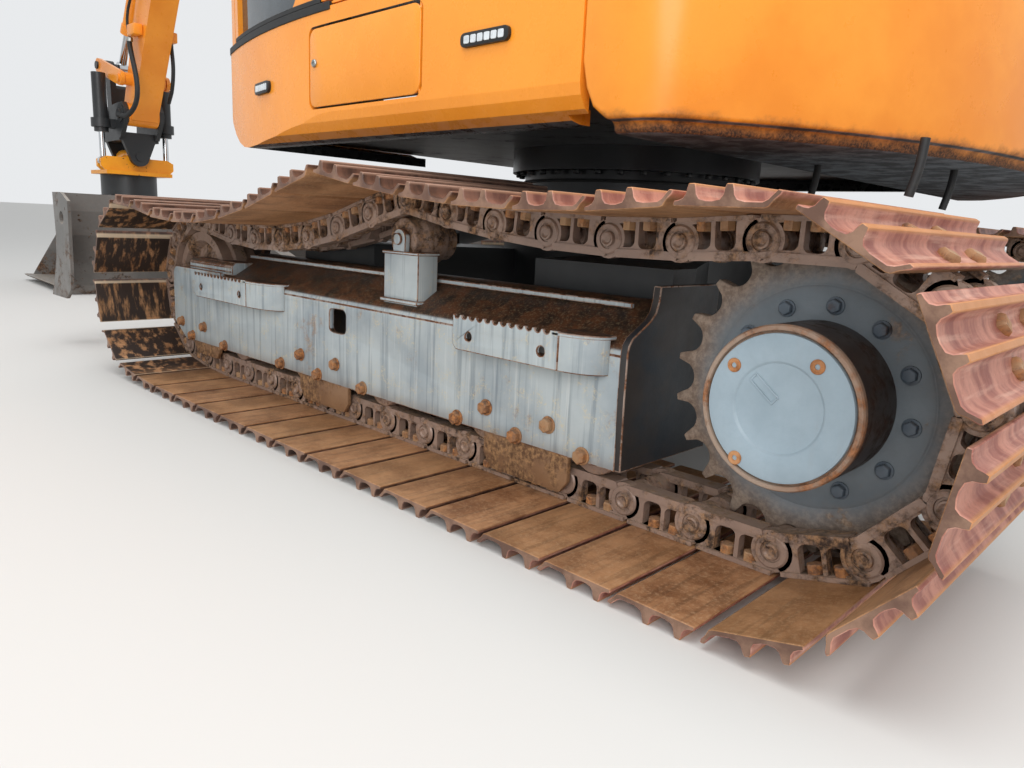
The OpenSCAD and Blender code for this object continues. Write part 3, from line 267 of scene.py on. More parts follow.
def rounded_box(low, high, radius, steps=4):
    """Outline of a rounded rectangle."""
    made = []
    for cx, cy, start in (
        (high[0] - radius, high[1] - radius, 0),
        (low[0] + radius, high[1] - radius, 90),
        (low[0] + radius, low[1] + radius, 180),
        (high[0] - radius, low[1] + radius, 270),
    ):
        made += round_part(cx, cy, radius, start, start + 90, steps)
    return made


def settle(obj, angle=35):
    """Turns an object's modifiers into mesh, smooth but for its sharp edges."""
    done = bpy.data.meshes.new_from_object(obj.evaluated_get(bpy.context.evaluated_depsgraph_get()))
    obj.modifiers.clear()
    obj.data = done
    done.polygons.foreach_set("use_smooth", [True] * len(done.polygons))
    done.set_sharp_from_angle(angle=math.radians(angle))
    return obj


def bevelled(obj, width, segments=2, angle=35):
    made = obj.modifiers.new("Edges", "BEVEL")
    made.width = width * MM
    made.segments = segments
    made.limit_method = "ANGLE"
    made.angle_limit = math.radians(angle)
    made.use_clamp_overlap = False
    made.material = min(1, len(obj.data.materials) - 1)
    return obj


def placed(name, data, finishes=""):
    """A new object in the scene, with its finishes by name."""
    for finish in finishes.split():
        data.materials.append(FINISHES[finish])
    obj = bpy.data.objects.new(name, data)
    bpy.context.scene.collection.objects.link(obj)
    return obj


def ended(obj, body, bevel=0.0, segments=2):
    """Rounds an object's edges, makes it plain mesh and sets it on its body."""
    if bevel:
        bevelled(obj, bevel, segments)
    bpy.context.view_layer.update()
    settle(obj)
    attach(obj, body)
    return obj


def piece(name, shape, body, finishes, bevel=0.0, segments=2):
    """A new piece from a shape. A second finish goes on the rounded edges."""
    return ended(placed(name, shape.mesh(name), finishes), body, bevel, segments)


def softened(node, finishes, bevel, segments=2):
    """A copy of a CAD node with its edges rounded, which stands for the node."""
    cad = frame["nodes"][node]
    mesh = cad.data.copy()
    mesh.materials.clear()
    work = bmesh.new()
    work.from_mesh(mesh)
    bmesh.ops.remove_doubles(work, verts=work.verts, dist=2e-5)
    bmesh.ops.dissolve_limit(work, angle_limit=math.radians(1.0), verts=work.verts, edges=work.edges)
    work.to_mesh(mesh)
    work.free()
    mesh.polygons.foreach_set("material_index", [0] * len(mesh.polygons))
    obj = placed(node + "_worn", mesh, finishes)
    ended(obj, cad.parent.name[len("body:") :], bevel, segments)
    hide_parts(node)
    return obj


def repeat_tree():
    """Geometry nodes that set one part on every place of a mesh of points, turned as each place's attribute says."""
    tree = bpy.data.node_groups.new("Repeat a part", "GeometryNodeTree")
    face = tree.interface
    face.new_socket("Places", in_out="INPUT", socket_type="NodeSocketGeometry")
    face.new_socket("Part", in_out="INPUT", socket_type="NodeSocketObject")
    face.new_socket("Size", in_out="INPUT", socket_type="NodeSocketFloat").default_value = 1.0
    face.new_socket("Finish", in_out="INPUT", socket_type="NodeSocketMaterial")
    face.new_socket("Parts", in_out="OUTPUT", socket_type="NodeSocketGeometry")
    ask = tree.nodes.new("NodeGroupInput")
    give = tree.nodes.new("NodeGroupOutput")
    asked = ask.outputs
    part = add(tree, "GeometryNodeObjectInfo", {"Object": asked["Part"]}).outputs["Geometry"]
    turn = add(tree, "GeometryNodeInputNamedAttribute", {"Name": "turn"}, data_type="FLOAT_VECTOR")
    spin = add(tree, "FunctionNodeEulerToRotation", {"Euler": turn.outputs["Attribute"]}).outputs["Rotation"]
    inputs = {"Points": asked["Places"], "Instance": part, "Rotation": spin, "Scale": asked["Size"]}
    copies = add(tree, "GeometryNodeInstanceOnPoints", inputs).outputs["Instances"]
    real = add(tree, "GeometryNodeRealizeInstances", {"Geometry": copies}).outputs["Geometry"]
    finished = add(tree, "GeometryNodeSetMaterial", {"Geometry": real, "Material": asked["Finish"]})
    tree.links.new(finished.outputs["Geometry"], give.inputs["Parts"])
    return tree


def repeated(name, shape, places, body, finish, bevel=0.0, segments=2):
    """One part at every place; a place is a point in millimetres and its turn in degrees."""
    part = placed(name + "_one", shape.mesh(name + "_one"))
    if bevel:
        bevelled(part, bevel, segments)
        bpy.context.view_layer.update()
        settle(part)
    points = bpy.data.meshes.new(name)
    points.from_pydata([Vector(p) * MM for p, _ in places], [], [])
    turn = points.attributes.new("turn", "FLOAT_VECTOR", "POINT")
    turn.data.foreach_set("vector", [math.radians(a) for _, t in places for a in t])
    seed = points.attributes.new("seed", "FLOAT", "POINT")
    seed.data.foreach_set("value", [((i * 37) % 101) / 101 for i in range(len(places))])
    obj = placed(name, points)
    tree = bpy.data.node_groups.get("Repeat a part") or repeat_tree()
    made = obj.modifiers.new("Repeat", "NODES")
    made.node_group = tree
    sockets = {s.name: s.identifier for s in tree.interface.items_tree if s.in_out == "INPUT"}
    made[sockets["Part"]] = part
    made[sockets["Size"]] = 1.0
    made[sockets["Finish"]] = FINISHES[finish]
    ended(obj, body)
    bpy.data.objects.remove(part)
    return obj


def feed(tree, socket, value):
    """Sets what goes into a socket: a number, a colour, a text, or what another socket gives."""
    if isinstance(value, bpy.types.NodeSocket):
        tree.links.new(value, socket)
    else:
        socket.default_value = value


def add(tree, kind, inputs=None, **settings):
    """Adds one node, with its settings and what goes into its sockets."""
    made = tree.nodes.new(kind)
    for key, value in settings.items():
        setattr(made, key, value)
    for key, value in (inputs or {}).items():
        feed(tree, made.inputs[key], value)
    return made


class Value:
    """A number that a material works out, on which plain sums can be done."""

    def __init__(self, tree, socket):
        self.tree = tree
        self.socket = socket

    def work(self, operation, a, b=0.0):
        made = add(self.tree, "ShaderNodeMath", operation=operation)
        for socket, value in zip(made.inputs, (a, b)):
            feed(self.tree, socket, value.socket if isinstance(value, Value) else value)
        return Value(self.tree, made.outputs[0])

    def __add__(self, other):
        return self.work("ADD", self, other)

    def __sub__(self, other):
        return self.work("SUBTRACT", self, other)

    def __rsub__(self, other):
        return self.work("SUBTRACT", other, self)

    def __mul__(self, other):
        return self.work("MULTIPLY", self, other)

    __radd__, __rmul__ = __add__, __mul__

    def maximum(self, other):
        return self.work("MAXIMUM", self, other)

    def ramp(self, low, high):
        """Mask that runs from 0 to 1 as the number goes from low to high."""
        inputs = {0: self.socket, 1: low, 2: high}
        made = add(self.tree, "ShaderNodeMapRange", inputs, interpolation_type="SMOOTHSTEP")
        return Value(self.tree, made.outputs[0])


class Coat:
    """A material with its shader, and the noises, masks and layers that its looks are made of."""

    def __init__(self, name):
        self.made = bpy.data.materials.new(name)
        self.made.use_nodes = True
        self.tree = self.made.node_tree
        self.shader = next(n for n in self.tree.nodes if n.type == "BSDF_PRINCIPLED")
        where = add(self.tree, "ShaderNodeTexCoord")
        self.coords = where.outputs["Object"]
        self.facing = where.outputs["Normal"]

    def noise(self, scale, detail=5.0, roughness=0.6, stretch=(1, 1, 1), offset=0.0):
        """Noise whose grain is 1/scale of a metre across, stretched along the axes."""
        spread = {"Vector": self.coords, "Scale": stretch, "Location": (offset, offset * 0.7, offset * 1.3)}
        spread = add(self.tree, "ShaderNodeMapping", spread).outputs[0]
        grain = {"Vector": spread, "Scale": scale, "Detail": detail, "Roughness": roughness}
        made = add(self.tree, "ShaderNodeTexNoise", grain)
        return Value(self.tree, made.outputs["Fac"])

    def part(self, vector, axis):
        """One of a vector's three numbers."""
        return Value(self.tree, add(self.tree, "ShaderNodeSeparateXYZ", {0: vector}).outputs[axis])

    def up(self):
        """How far a face looks up: 1 on top, -1 below."""
        return self.part(add(self.tree, "ShaderNodeNewGeometry").outputs["Normal"], 2)

    def mark(self, name):
        """A number that the mesh holds at each point."""
        return Value(self.tree, add(self.tree, "ShaderNodeAttribute", attribute_name=name).outputs["Fac"])

    def vector(self, operation, first, second, output):
        """One sum on two vectors; the second is a socket or three numbers."""
        return add(self.tree, "ShaderNodeVectorMath", {0: first, 1: second}, operation=operation).outputs[output]

    def blend(self, mask, under, over):
        """Colour over another by a mask; each is a hex value or a socket."""
        under, over = (linear(colour) if isinstance(colour, str) else colour for colour in (under, over))
        return add(self.tree, "ShaderNodeMix", {0: mask.socket, 6: under, 7: over}, data_type="RGBA").outputs[2]

    def layered(self, colour, *layers):
        """Colours laid over each other, each by its mask."""
        for mask, over in layers:
            colour = self.blend(mask, colour, over)
        return colour

    def surface(self, colour, rough, relief, strength, depth=0.002):
        """Gives the shader its colour, its roughness and its relief."""
        bump = {"Strength": strength, "Distance": depth, "Height": relief.socket}
        bump = add(self.tree, "ShaderNodeBump", bump).outputs[0]
        return self.finish({"Base Color": colour, "Roughness": rough.socket, "Normal": bump})

    def finish(self, inputs):
        """Feeds the shader's own sockets."""
        for name, value in inputs.items():
            feed(self.tree, self.shader.inputs[name], value)
        return self.made


# Roughness of rust, the colour of a painted wet sheen over the painted shade on faces that look down, and the near
# black painted shade on faces that look inwards under the panels
RUST_ROUGHNESS = 0.82
PAINTED_WET_SHEEN = "6A7076"
PAINTED_INWARD_SHADE = "232527"


def weathered(
    name, paint, shade, rust="6B4226", deep="2E1D14", rust_level=0.62, streaks=0.0, chips=0.0, dust="9A8F80",
    dust_amount=0.3, mud_top=0.0, gloss=0.4, grain=0.15, metallic=0.0, fine=90.0, under=None, scuff=None, rim=None,
):
    """Coat of paint or bare steel with clouding, rust patches, runs down its sides, chips and settled dust.
    under is the colour of the painted shade on what faces down, mottled with a painted wet sheen, while faces that look
    inwards get a near black painted shade;
    scuff the heights in metres between which a low edge is rubbed through, and rim the radii in metres round the
    sprocket's axis between which the paint gives way to rust."""
    coat = Coat(name)
    cloud = coat.noise(3.1)
    mottle = coat.noise(17.0, detail=8.0, roughness=0.7, offset=3.0)
    speck = coat.noise(fine, detail=3.0, roughness=0.7, offset=9.0)
    body = coat.blend(cloud.ramp(0.38, 0.66), paint, shade)
    body = coat.blend(speck.ramp(0.42, 0.72) * 0.18, body, shade)
    rusted = (mottle * 0.62 + cloud * 0.38).ramp(rust_level - 0.05, rust_level + 0.06)
    if streaks:
        run = coat.noise(30.0, detail=4.0, stretch=(1.0, 1.0, 0.05), offset=5.0)
        wet = coat.noise(2.3, offset=11.0).ramp(0.42, 0.62)
        rusted = rusted.maximum(run.ramp(0.54, 0.68) * (wet * streaks))
    if chips:
        chip = coat.noise(38.0, detail=6.0, offset=21.0)
        rusted = rusted.maximum(chip.ramp(0.74 - chips, 0.75 - chips))
    if mud_top:
        low = coat.part(coat.coords, 2).ramp(mud_top, mud_top * 0.35)
        rusted = rusted.maximum(low * mottle.ramp(0.4, 0.56))
    if scuff:
        wavy = coat.part(coat.coords, 2) + (mottle - 0.5) * 0.06
        rusted = rusted.maximum(wavy.ramp(scuff[1], scuff[0]))
    if rim:
        flat = coat.vector("MULTIPLY", coat.coords, (1, 0, 1), "Vector")
        away = coat.vector("DISTANCE", flat, (SPROCKET.x * MM, 0, SPROCKET.y * MM), "Value")
        wavy = Value(coat.tree, away) + (mottle - 0.5) * 0.05
        rusted = rusted.maximum(wavy.ramp(*rim) * 0.85)
    colour = coat.blend(rusted, body, coat.blend(speck.ramp(0.35, 0.7), deep, rust))
    if dust_amount:
        lies = coat.up().ramp(0.3, 0.95) * mottle.ramp(0.3, 0.6)
        colour = coat.blend(lies * dust_amount, colour, dust)
    # painted shade: the under colour on faces that look down, mottled with a painted wet sheen, and near black on faces
    # that look inwards
    if under:
        flat = coat.vector("MULTIPLY", coat.coords, (1, 1, 0), "Vector")
        inward = Value(coat.tree, coat.vector("DOT_PRODUCT", flat, coat.facing, "Value"))
        painted_shade_and_sheen = coat.blend(mottle.ramp(0.42, 0.6), under, PAINTED_WET_SHEEN)
        colour = coat.layered(colour, (coat.up().ramp(-0.75, -0.97), painted_shade_and_sheen), (inward.ramp(-0.45, -0.6), PAINTED_INWARD_SHADE))
    if metallic:
        coat.finish({"Metallic": ((1.0 - rusted) * metallic).socket})
    rough = gloss + rusted * max(0.0, RUST_ROUGHNESS - gloss) + (mottle - 0.5) * 0.25
    return coat.surface(colour, rough, speck * 0.5 + rusted * 0.7, grain)


def frame_enamel():
    """Blue-grey undercarriage enamel, brushed: rain runs and cream splashes down its sides, wet brown mud on top.
    Points marked 1, the bulkhead's, get a near black painted shade."""
    coat = Coat("undercarriage_enamel")
    cloud = coat.noise(4.0)
    mottle = coat.noise(20.0, detail=8.0, roughness=0.7, offset=3.0)
    speck = coat.noise(170.0, detail=3.0, roughness=0.8, offset=9.0)
    dark_run = coat.noise(70.0, detail=4.0, stretch=(1.0, 1.0, 0.03), offset=5.0)
    pale_run = coat.noise(110.0, detail=3.0, stretch=(1.0, 1.0, 0.04), offset=15.0)
    side = coat.layered(
        coat.blend(cloud.ramp(0.36, 0.66), "B2BBBD", "96A1A7"),
        (dark_run.ramp(0.5, 0.66) * 0.5, "67737C"),
        (pale_run.ramp(0.55, 0.7) * 0.45, "C9CECC"),
        (mottle.ramp(0.5, 0.62) * speck.ramp(0.48, 0.62) * 0.75, "CBBF9E"),
        ((mottle * 0.5 + cloud * 0.5).ramp(0.55, 0.64) * 0.55, "8A6444"),
        (coat.part(coat.coords, 2).ramp(0.17, 0.12) * 0.5, "6E5A48"),
    )
    mud = coat.layered(coat.blend(mottle.ramp(0.4, 0.6), "2C211A", "57351F"), (speck.ramp(0.5, 0.66) * 0.5, "85755C"))
    # near black painted shade laid on the bulkhead's face
    painted_bulkhead_shade = coat.blend(cloud.ramp(0.4, 0.6), "1C2730", "2E2A28")
    colour = coat.layered(side, (coat.up().ramp(0.3, 0.55), mud), (coat.mark("mark"), painted_bulkhead_shade))
    return coat.surface(colour, 0.3 + mottle * 0.4, speck * 0.4 + mottle * 0.6, 0.3)


def shoe_steel():
    """Rolled steel shoes: brown wet rust inside, terracotta dried clay and rubbed ridges outside, pale worn edges.
    The pale pinkish-white streaks over the clay are painted highlights.
    """
    coat = Coat("rusty_shoe_steel")
    mark, seed = coat.mark("mark"), coat.mark("seed")
    along = coat.part(coat.coords, 0)
    cloud = coat.noise(9.0, detail=7.0, roughness=0.65)
    grit = coat.noise(140.0, detail=3.0, roughness=0.8, offset=4.0)
    scrape_and_highlight_streaks = coat.noise(60.0, detail=4.0, stretch=(1.0, 0.08, 1.0), offset=2.0)
    run = coat.noise(26.0, detail=5.0, stretch=(0.3, 1.0, 0.3), offset=6.0)
    wet = coat.noise(40.0, detail=4.0, stretch=(1.0, 1.0, 0.08), offset=8.0)
    ahead = along.ramp(0.95, 1.15)
    behind = along.ramp(-0.45, -0.95)
    inner = coat.layered(
        coat.blend(cloud.ramp(0.35, 0.65), "7E5232", "B5845C"),
        (scrape_and_highlight_streaks.ramp(0.48, 0.66) * 0.4, "3E2817"),
        (grit.ramp(0.45, 0.75) * 0.5, "C09C78"),
        (seed * 0.3, "A07A4E"),
        (ahead * wet.ramp(0.36, 0.52), "2A1D16"),
    )
    clay = coat.layered(
        coat.blend(run.ramp(0.35, 0.65), "8A5044", "BC8370"),
        # pale pinkish-white streaks over the clay are painted highlights
        (scrape_and_highlight_streaks.ramp(0.5, 0.7) * 0.5, "D6AC98"),
        (grit.ramp(0.5, 0.72) * 0.3, "6B3A2E"),
    )
    brown = coat.blend(run.ramp(0.35, 0.65), "3E2A22", "6E4E40")
    lip = mark.ramp(0.12, 0.25) * (1.0 - mark.ramp(0.3, 0.5))
    across = coat.part(coat.facing, 1)
    colour = coat.layered(
        inner,
        (mark.ramp(0.3, 0.7), coat.blend(behind, brown, clay)),
        (mark.ramp(1.2, 1.8) * 0.8, coat.blend(behind, "9A7A68", "BC8350")),
        (lip * ahead * 0.7, "D6C0A4"),
        (across.work("ABSOLUTE", across).ramp(0.9, 0.98), coat.blend(cloud.ramp(0.4, 0.6), "5E4234", "8C6C58")),
    )
    return coat.surface(colour, 0.36 + cloud * 0.35, grit * 0.5 + run * 0.8, 0.35)


def plain(name, colour, gloss, metallic=0.0, fine=60.0, amount=0.25, other="000000"):
    """Even finish with a little clouding, such as rubber, plastic, cloth or plated steel."""
    coat = Coat(name)
    grain = coat.noise(fine, detail=4.0)
    coat.finish({"Metallic": metallic})
    clouded = coat.blend(grain.ramp(0.4, 0.7) * amount, colour, other)
    return coat.surface(clouded, gloss + grain * 0.1, grain, 0.05, depth=0.001)


def cab_glazing():
    """Toughened cab glass, float glass 5 mm thick: smooth, faintly grey and dusty."""
    coat = Coat("toughened_glass")
    colour = coat.blend(coat.noise(6.0).ramp(0.4, 0.7), "5C6870", "76828A")
    return coat.finish({"Base Color": colour, "Roughness": 0.04, "IOR": 1.5, "Transmission Weight": 0.75})


FINISHES = {}


def make_finishes(look):
    """Every finish of the machine, by its common name."""
    orange = look.paint_hex
    f = FINISHES
    # two-pack enamel on pressed steel: even and glossy, with faint clouding and few stone chips
    f["orange"] = weathered(
        "orange_enamel", orange, "E98A20", rust_level=0.8, dust="B8A88C", dust_amount=0.15, gloss=0.3, grain=0.04,
        fine=220.0,
    )
    # the same enamel on the cast-iron counterweight, rubbed to brown steel along its low edge, with painted shade on
    # its underside and on faces that look inwards
    f["orange_cast"] = weathered(
        "orange_enamel_cast", orange, "E98A20", rust_level=0.8, dust="B8A88C", dust_amount=0.15, gloss=0.3, grain=0.05,
        fine=220.0, scuff=(0.765, 0.800), under="3A3E42", deep="2A1A10", rust="7A4A24",
    )
    # the side panels' enamel, with painted shade: deep grey mottled with a painted wet sheen on faces that look down,
    # near black on faces that look inwards
    f["orange_panel"] = weathered(
        "orange_enamel_panel", orange, "EE9226", rust_level=0.82, dust="B8A88C", dust_amount=0.15, gloss=0.28,
        grain=0.03, fine=220.0, under="3A3E42",
    )
    # blue-grey undercarriage enamel with rain runs and mud
    f["grey"] = frame_enamel()
    # the same paint rubbed through to rust at plate edges
    f["grey_edge"] = weathered(
        "undercarriage_enamel_edge", "A08C80", "7C6A5C", rust="8A5E40", deep="5A3A28", rust_level=0.5, chips=0.2,
        dust_amount=0.0, gloss=0.5, grain=0.3,
    )
    # the same paint on the sprocket, worn to rust towards the teeth
    f["sprocket"] = weathered(
        "sprocket_enamel", "77828A", "636D74", rust="A48F7C", deep="7A6350", rust_level=0.6, dust="7D7468", gloss=0.45,
        grain=0.4, rim=(0.17, 0.24),
    )
    # the hub's cover, pale enamel with orange rust patches
    f["hub"] = weathered(
        "hub_enamel", "9CAEB9", "8799A4", rust="A8703C", deep="7A6450", rust_level=0.665, streaks=0.15, dust_amount=0.1,
        grain=0.3,
    )
    # the hub's side, oily and brown
    f["hub_side"] = weathered("oily_hub_steel", "2A211C", "3A2B22", rust="4A3020", rust_level=0.55, dust="4A4038")
    # the hub's rim and plugs, rubbed to pale brown steel
    f["hub_rim"] = weathered(
        "rubbed_hub_steel", "A08C7C", "8A6A54", rust="A86C40", deep="6A4A34", rust_level=0.52, dust_amount=0.1,
        gloss=0.45, grain=0.3,
    )
    f["plug"] = weathered(
        "rusted_plug_steel", "C08A5C", "A06A40", rust="B87848", deep="8A5A34", rust_level=0.5, dust_amount=0.0,
        gloss=0.5, grain=0.3,
    )
    # forged and flame-hardened links: pinkish-brown rust film, pale where they rub
    f["links"] = weathered(
        "forged_link_steel", "8A7468", "A68C7C", rust="A07A58", deep="33241C", rust_level=0.52, dust="A89078",
        dust_amount=0.35, gloss=0.42, grain=0.5, metallic=0.15,
    )
    f["shoes"] = shoe_steel()
    # guards and brackets of bare rolled plate
    f["bare"] = weathered(
        "bare_rolled_plate", "8C6A4C", "75543A", rust="A37C54", deep="5A3E28", rust_level=0.5, dust_amount=0.2,
        gloss=0.5, grain=0.5,
    )
    # zinc-plated bolts gone rusty
    f["bolts"] = weathered(
        "rusted_bolt_steel", "A88460", "8A6244", rust="B87C48", deep="6A4630", rust_level=0.5, dust_amount=0.2,
        gloss=0.5, grain=0.3,
    )
    # the same bolts painted over with the frame
    f["painted_bolts"] = weathered(
        "painted_bolt_steel", "5D6B78", "4A5560", rust="6A4A34", rust_level=0.6, dust_amount=0.2, grain=0.2,
    )
    # greased black bearing ring, satin
    f["ring"] = weathered(
        "black_bearing_steel", "15171A", "22242A", rust="3A2C22", rust_level=0.68, dust="5A5048", gloss=0.35,
    )
    # satin black chassis paint
    f["black"] = weathered(
        "black_chassis_paint", "1E2022", "2A2C2E", rust="4A3524", rust_level=0.68, dust="6A6258", dust_amount=0.35,
        gloss=0.42,
    )
    # galvanised belly sheets, stained by oil and road dirt
    f["belly"] = weathered(
        "galvanised_sheet", "6E7173", "5A5D60", rust="4A4038", deep="2E2C2A", rust_level=0.6, dust_amount=0.0,
        grain=0.2, metallic=0.2,
    )
    # blade and bucket: grey paint, dusty and worn to brown steel
    f["blade"] = weathered(
        "worn_blade_paint", "64625F", "7A7672", rust="7A5C44", rust_level=0.56, chips=0.08, dust="A8A298",
        dust_amount=0.6, mud_top=0.3, gloss=0.45, grain=0.25,
    )
    # yellow-orange powder coat of the tilt frame
    f["tilt"] = weathered(
        "yellow_powder_coat", "F0A01E", "DB8A14", rust_level=0.68, chips=0.08, dust_amount=0.2, gloss=0.35, grain=0.08,
    )
    # hard chrome plated rods
    f["chrome"] = plain("hard_chrome", "C8CACC", 0.08, metallic=1.0, amount=0.15, other="8A8C90")
    # nitrile rubber hoses and seals
    f["rubber"] = plain("nitrile_rubber", "17181A", 0.55, amount=0.4, other="34332F")
    # injection-moulded nylon and lamp housings
    f["plastic"] = plain("moulded_nylon", "131416", 0.4, amount=0.3, other="2A2B2D")
    # polycarbonate lenses over the diodes
    f["lens"] = plain("polycarbonate_lens", "D8DEE2", 0.12, amount=0.5, other="9AA2A8")
    # zinc plated fittings
    f["zinc"] = plain("zinc_plate", "A9ABA8", 0.32, metallic=0.9, amount=0.4, other="6A6B68")
    f["glass"] = cab_glazing()
    # woven seat cloth over foam
    f["cloth"] = plain("seat_cloth", "1B1C1F", 0.9, fine=600.0, amount=0.6, other="2F3136")


# CAD nodes that show as they are, by their finish
NODE_FINISHES = {
    "black": """centre_frame blade_cylinder_barrel engine_block rails_and_mirrors exhaust bucket_link tilt_head
        tilt_barrels rotator""",
    "belly": "upper_frame",
    "links": "idlers",
    "ring": "swing_ring turntable_ring",
    "blade": "dozer_blade blade_frame bucket",
    "orange_panel": "skirts",
    "orange": """engine_house engine_hood side_door_right tank_cover cab_shell cab_door boom boom_cylinder_barrels arm
        arm_cylinder_barrel bucket_cylinder_barrel rocker""",
    "chrome": """blade_cylinder_rod boom_cylinder_rods arm_cylinder_rod bucket_cylinder_rod tilt_rod_left
        tilt_rod_right""",
    "glass": "cab_glass door_glass",
    "cloth": "operator_seat",
    "plastic": "work_lamps",
    "tilt": "tilt_frame",
}


def chain_course():
    """Points of the pins' course round the loop, in side view."""

    def arc(centre, radius, start, end, count):
        turns = [start + (end - start) * i / count for i in range(count + 1)]
        return [centre + radius * Vector((math.cos(math.radians(a)), math.sin(math.radians(a)))) for a in turns]

    def sag(start, end, drop, count):
        made = []
        for i in range(1, count):
            u = i / count
            made.append(start + u * (end - start) - Vector((0, 4 * drop * u * (1 - u))))
        return made

    front = arc(IDLER, IDLER_PINS, -87.5, 101, 30)
    rear = arc(SPROCKET, SPROCKET_RADIUS, 82, 270, 30)
    start = [Vector((SPROCKET.x, PIN_Z)), Vector((925.0, PIN_Z))]
    upper = sag(front[-1], CARRIER_TOP, SAGS[0], 10) + [CARRIER_TOP] + sag(CARRIER_TOP, rear[0], SAGS[1], 10)
    return start + front + upper + rear


def chain_pins():
    """Places of the pins: one pitch apart, but on the upper run, which takes up the slack."""
    course = chain_course()
    lengths = [0.0]
    for a, b in zip(course, course[1:]):
        lengths.append(lengths[-1] + (b - a).length)
    whole = lengths[-1]
    pins = []
    for i in range(LINKS):
        if i <= SLACK_FROM:
            run = PITCH * i
        elif i >= SLACK_TO:
            run = whole - PITCH * (LINKS - i)
        else:
            slack = whole - PITCH * (LINKS - SLACK_TO + SLACK_FROM)
            run = PITCH * SLACK_FROM + slack * (i - SLACK_FROM) / (SLACK_TO - SLACK_FROM)
        s = (FIRST_PIN + run) % whole
        k = max(j for j in range(len(lengths) - 1) if lengths[j] <= s)
        pins.append(course[k].lerp(course[k + 1], (s - lengths[k]) / (lengths[k + 1] - lengths[k])))
    return pins


def link_places(side):
    """Middle of each link in side view with its turn, on one side of the machine."""
    pins = chain_pins()
    places = []
    for i in range(LINKS):
        p, q = pins[i], pins[(i + 1) % LINKS]
        mid = (p + q) / 2
        turn = -math.degrees(math.atan2(q.y - p.y, q.x - p.x))
        places.append(((mid.x, side * CHAIN_Y, mid.y), (0, turn, 0)))
    return places


# Shoe in side view, x along the travel and z inwards from the plate's seat on the links; last value marks the outside
SHOE_SECTION = [
    (-88, 0, 0.25), (-82, 0, 0), (47, 0, 0), (53, -2, 0.25), (59, -10, 0.3), (68, -18, 0.6), (70, -23, 1.6),
    (63, -24, 1.6), (57, -18, 1), (51, -12, 1), (44, -8.5, 1), (20, -8.5, 1), (9, -11, 1), (4.5, -17, 1),
    (3, -25, 1.2), (1, -31, 2), (-9, -31, 2), (-11, -25, 1.2), (-12.5, -17, 1), (-17, -11, 1), (-28, -8.5, 1),
    (-37, -8.5, 1), (-48, -11, 1), (-52.5, -17, 1), (-54, -25, 1.2), (-56, -31, 2), (-66, -31, 2), (-68, -25, 1.2),
    (-69.5, -17, 1), (-74, -11, 1), (-80, -8.5, 1), (-88, -7, 1),
]


def shoe_shape():
    """One shoe: its section across the track, with the outside of the section marked for its colour."""
    shape = Shape()
    shape.prism([(x, z - PIN_HEIGHT) for x, z, _ in SHOE_SECTION], "Y", -SHOE_HALF, SHOE_HALF)
    shape.marks = [m for _, _, m in SHOE_SECTION] * 2
    return shape


class EXCAVATOR_OT_tracks(bpy.types.Operator):
    """Build the shoes, links and bolts of both tracks"""

    bl_idname = "excavator.tracks"
    bl_label = "Tracks"

    def execute(self, context):
        for side, name in ((1, "left"), (-1, "right")):
            places = link_places(side)
            shoes = repeated(f"track_shoes_{name}", shoe_shape(), places, "chassis", "shoes", 1.2, 1)
            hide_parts(f"track_{name}")
            repeated(f"track_links_{name}", link_shape(), places, "chassis", "links")
            repeated(f"shoe_bolts_{name}", shoe_bolts_shape(), places, "chassis", "bolts")
        return {"FINISHED"}


def link_shape():
    """Both forged links of one pitch: side plates with two windows, rail, foot, and a boss round the rear pin."""
    shape = Shape()
    foot = 0.5 - PIN_HEIGHT
    rail = RAIL_HEIGHT - 0.5
    half = PITCH / 2
    outline = [(-80, foot + 2), (60, foot + 2), (68, foot + 10), (73, -12), (84, 6), (87, 20), (80, rail - 2)]
    outline += [(-60, rail - 2)] + round_part(-half, 0, 37, 52, 256, 12)
    front_window = [(-9, -33), (30, -33)] + round_part(17, 3, 13, 0, 90, 4) + round_part(2, 5, 11, 90, 180, 4)
    rear_window = [(-17, -33), (-17, 2)] + round_part(-29, 2, 12, 0, 80, 4) + round_part(-half, 0, 37, 22, -52, 8)
    for side in (1, -1):
        shape.plate([outline, front_window, rear_window], "Y", *sorted((side * 58, side * 79)))
        shape.prism([(-62, 18), (-56, rail), (76, rail), (83, 18)], "Y", *sorted((side * 43, side * 82)))
        shape.prism([(-82, foot), (62, foot), (62, foot + 8), (-82, foot + 8)], "Y", *sorted((side * 50, side * 85)))
        profile = [(30, side * 52), (30, side * 80), (27, side * 83), (19, side * 83), (18, side * 80), (15, side * 80)]
        profile += [(14, side * 86), (11, side * 87), (7, side * 84), (0.5, side * 84)]
        shape.turned((-half, 0, 0), "Y", profile, 28)
        shape.turned((half, 0, 0), "Y", [(30, side * 14), (30, side * 57), (0.5, side * 57)], 20)
    return shape.turned((-half, 0, 0), "Y", [(17, -60), (17, 60)], 16)


def shoe_bolts_shape():
    """Four shoe bolts: nuts in the links' windows and square heads in the troughs of the shoe's outside."""
    shape = Shape()
    for y in (-68, 68):
        for x in (-37, 8):
            shape.bolt((x, y, 8.5 - PIN_HEIGHT), "Z", 1, 25, 16)
        for x in (-31, 31):
            shape.turned((x, y, -PIN_HEIGHT - 8), "Z", [(17, 0), (17, -7), (13, -12)], 4)
    return shape


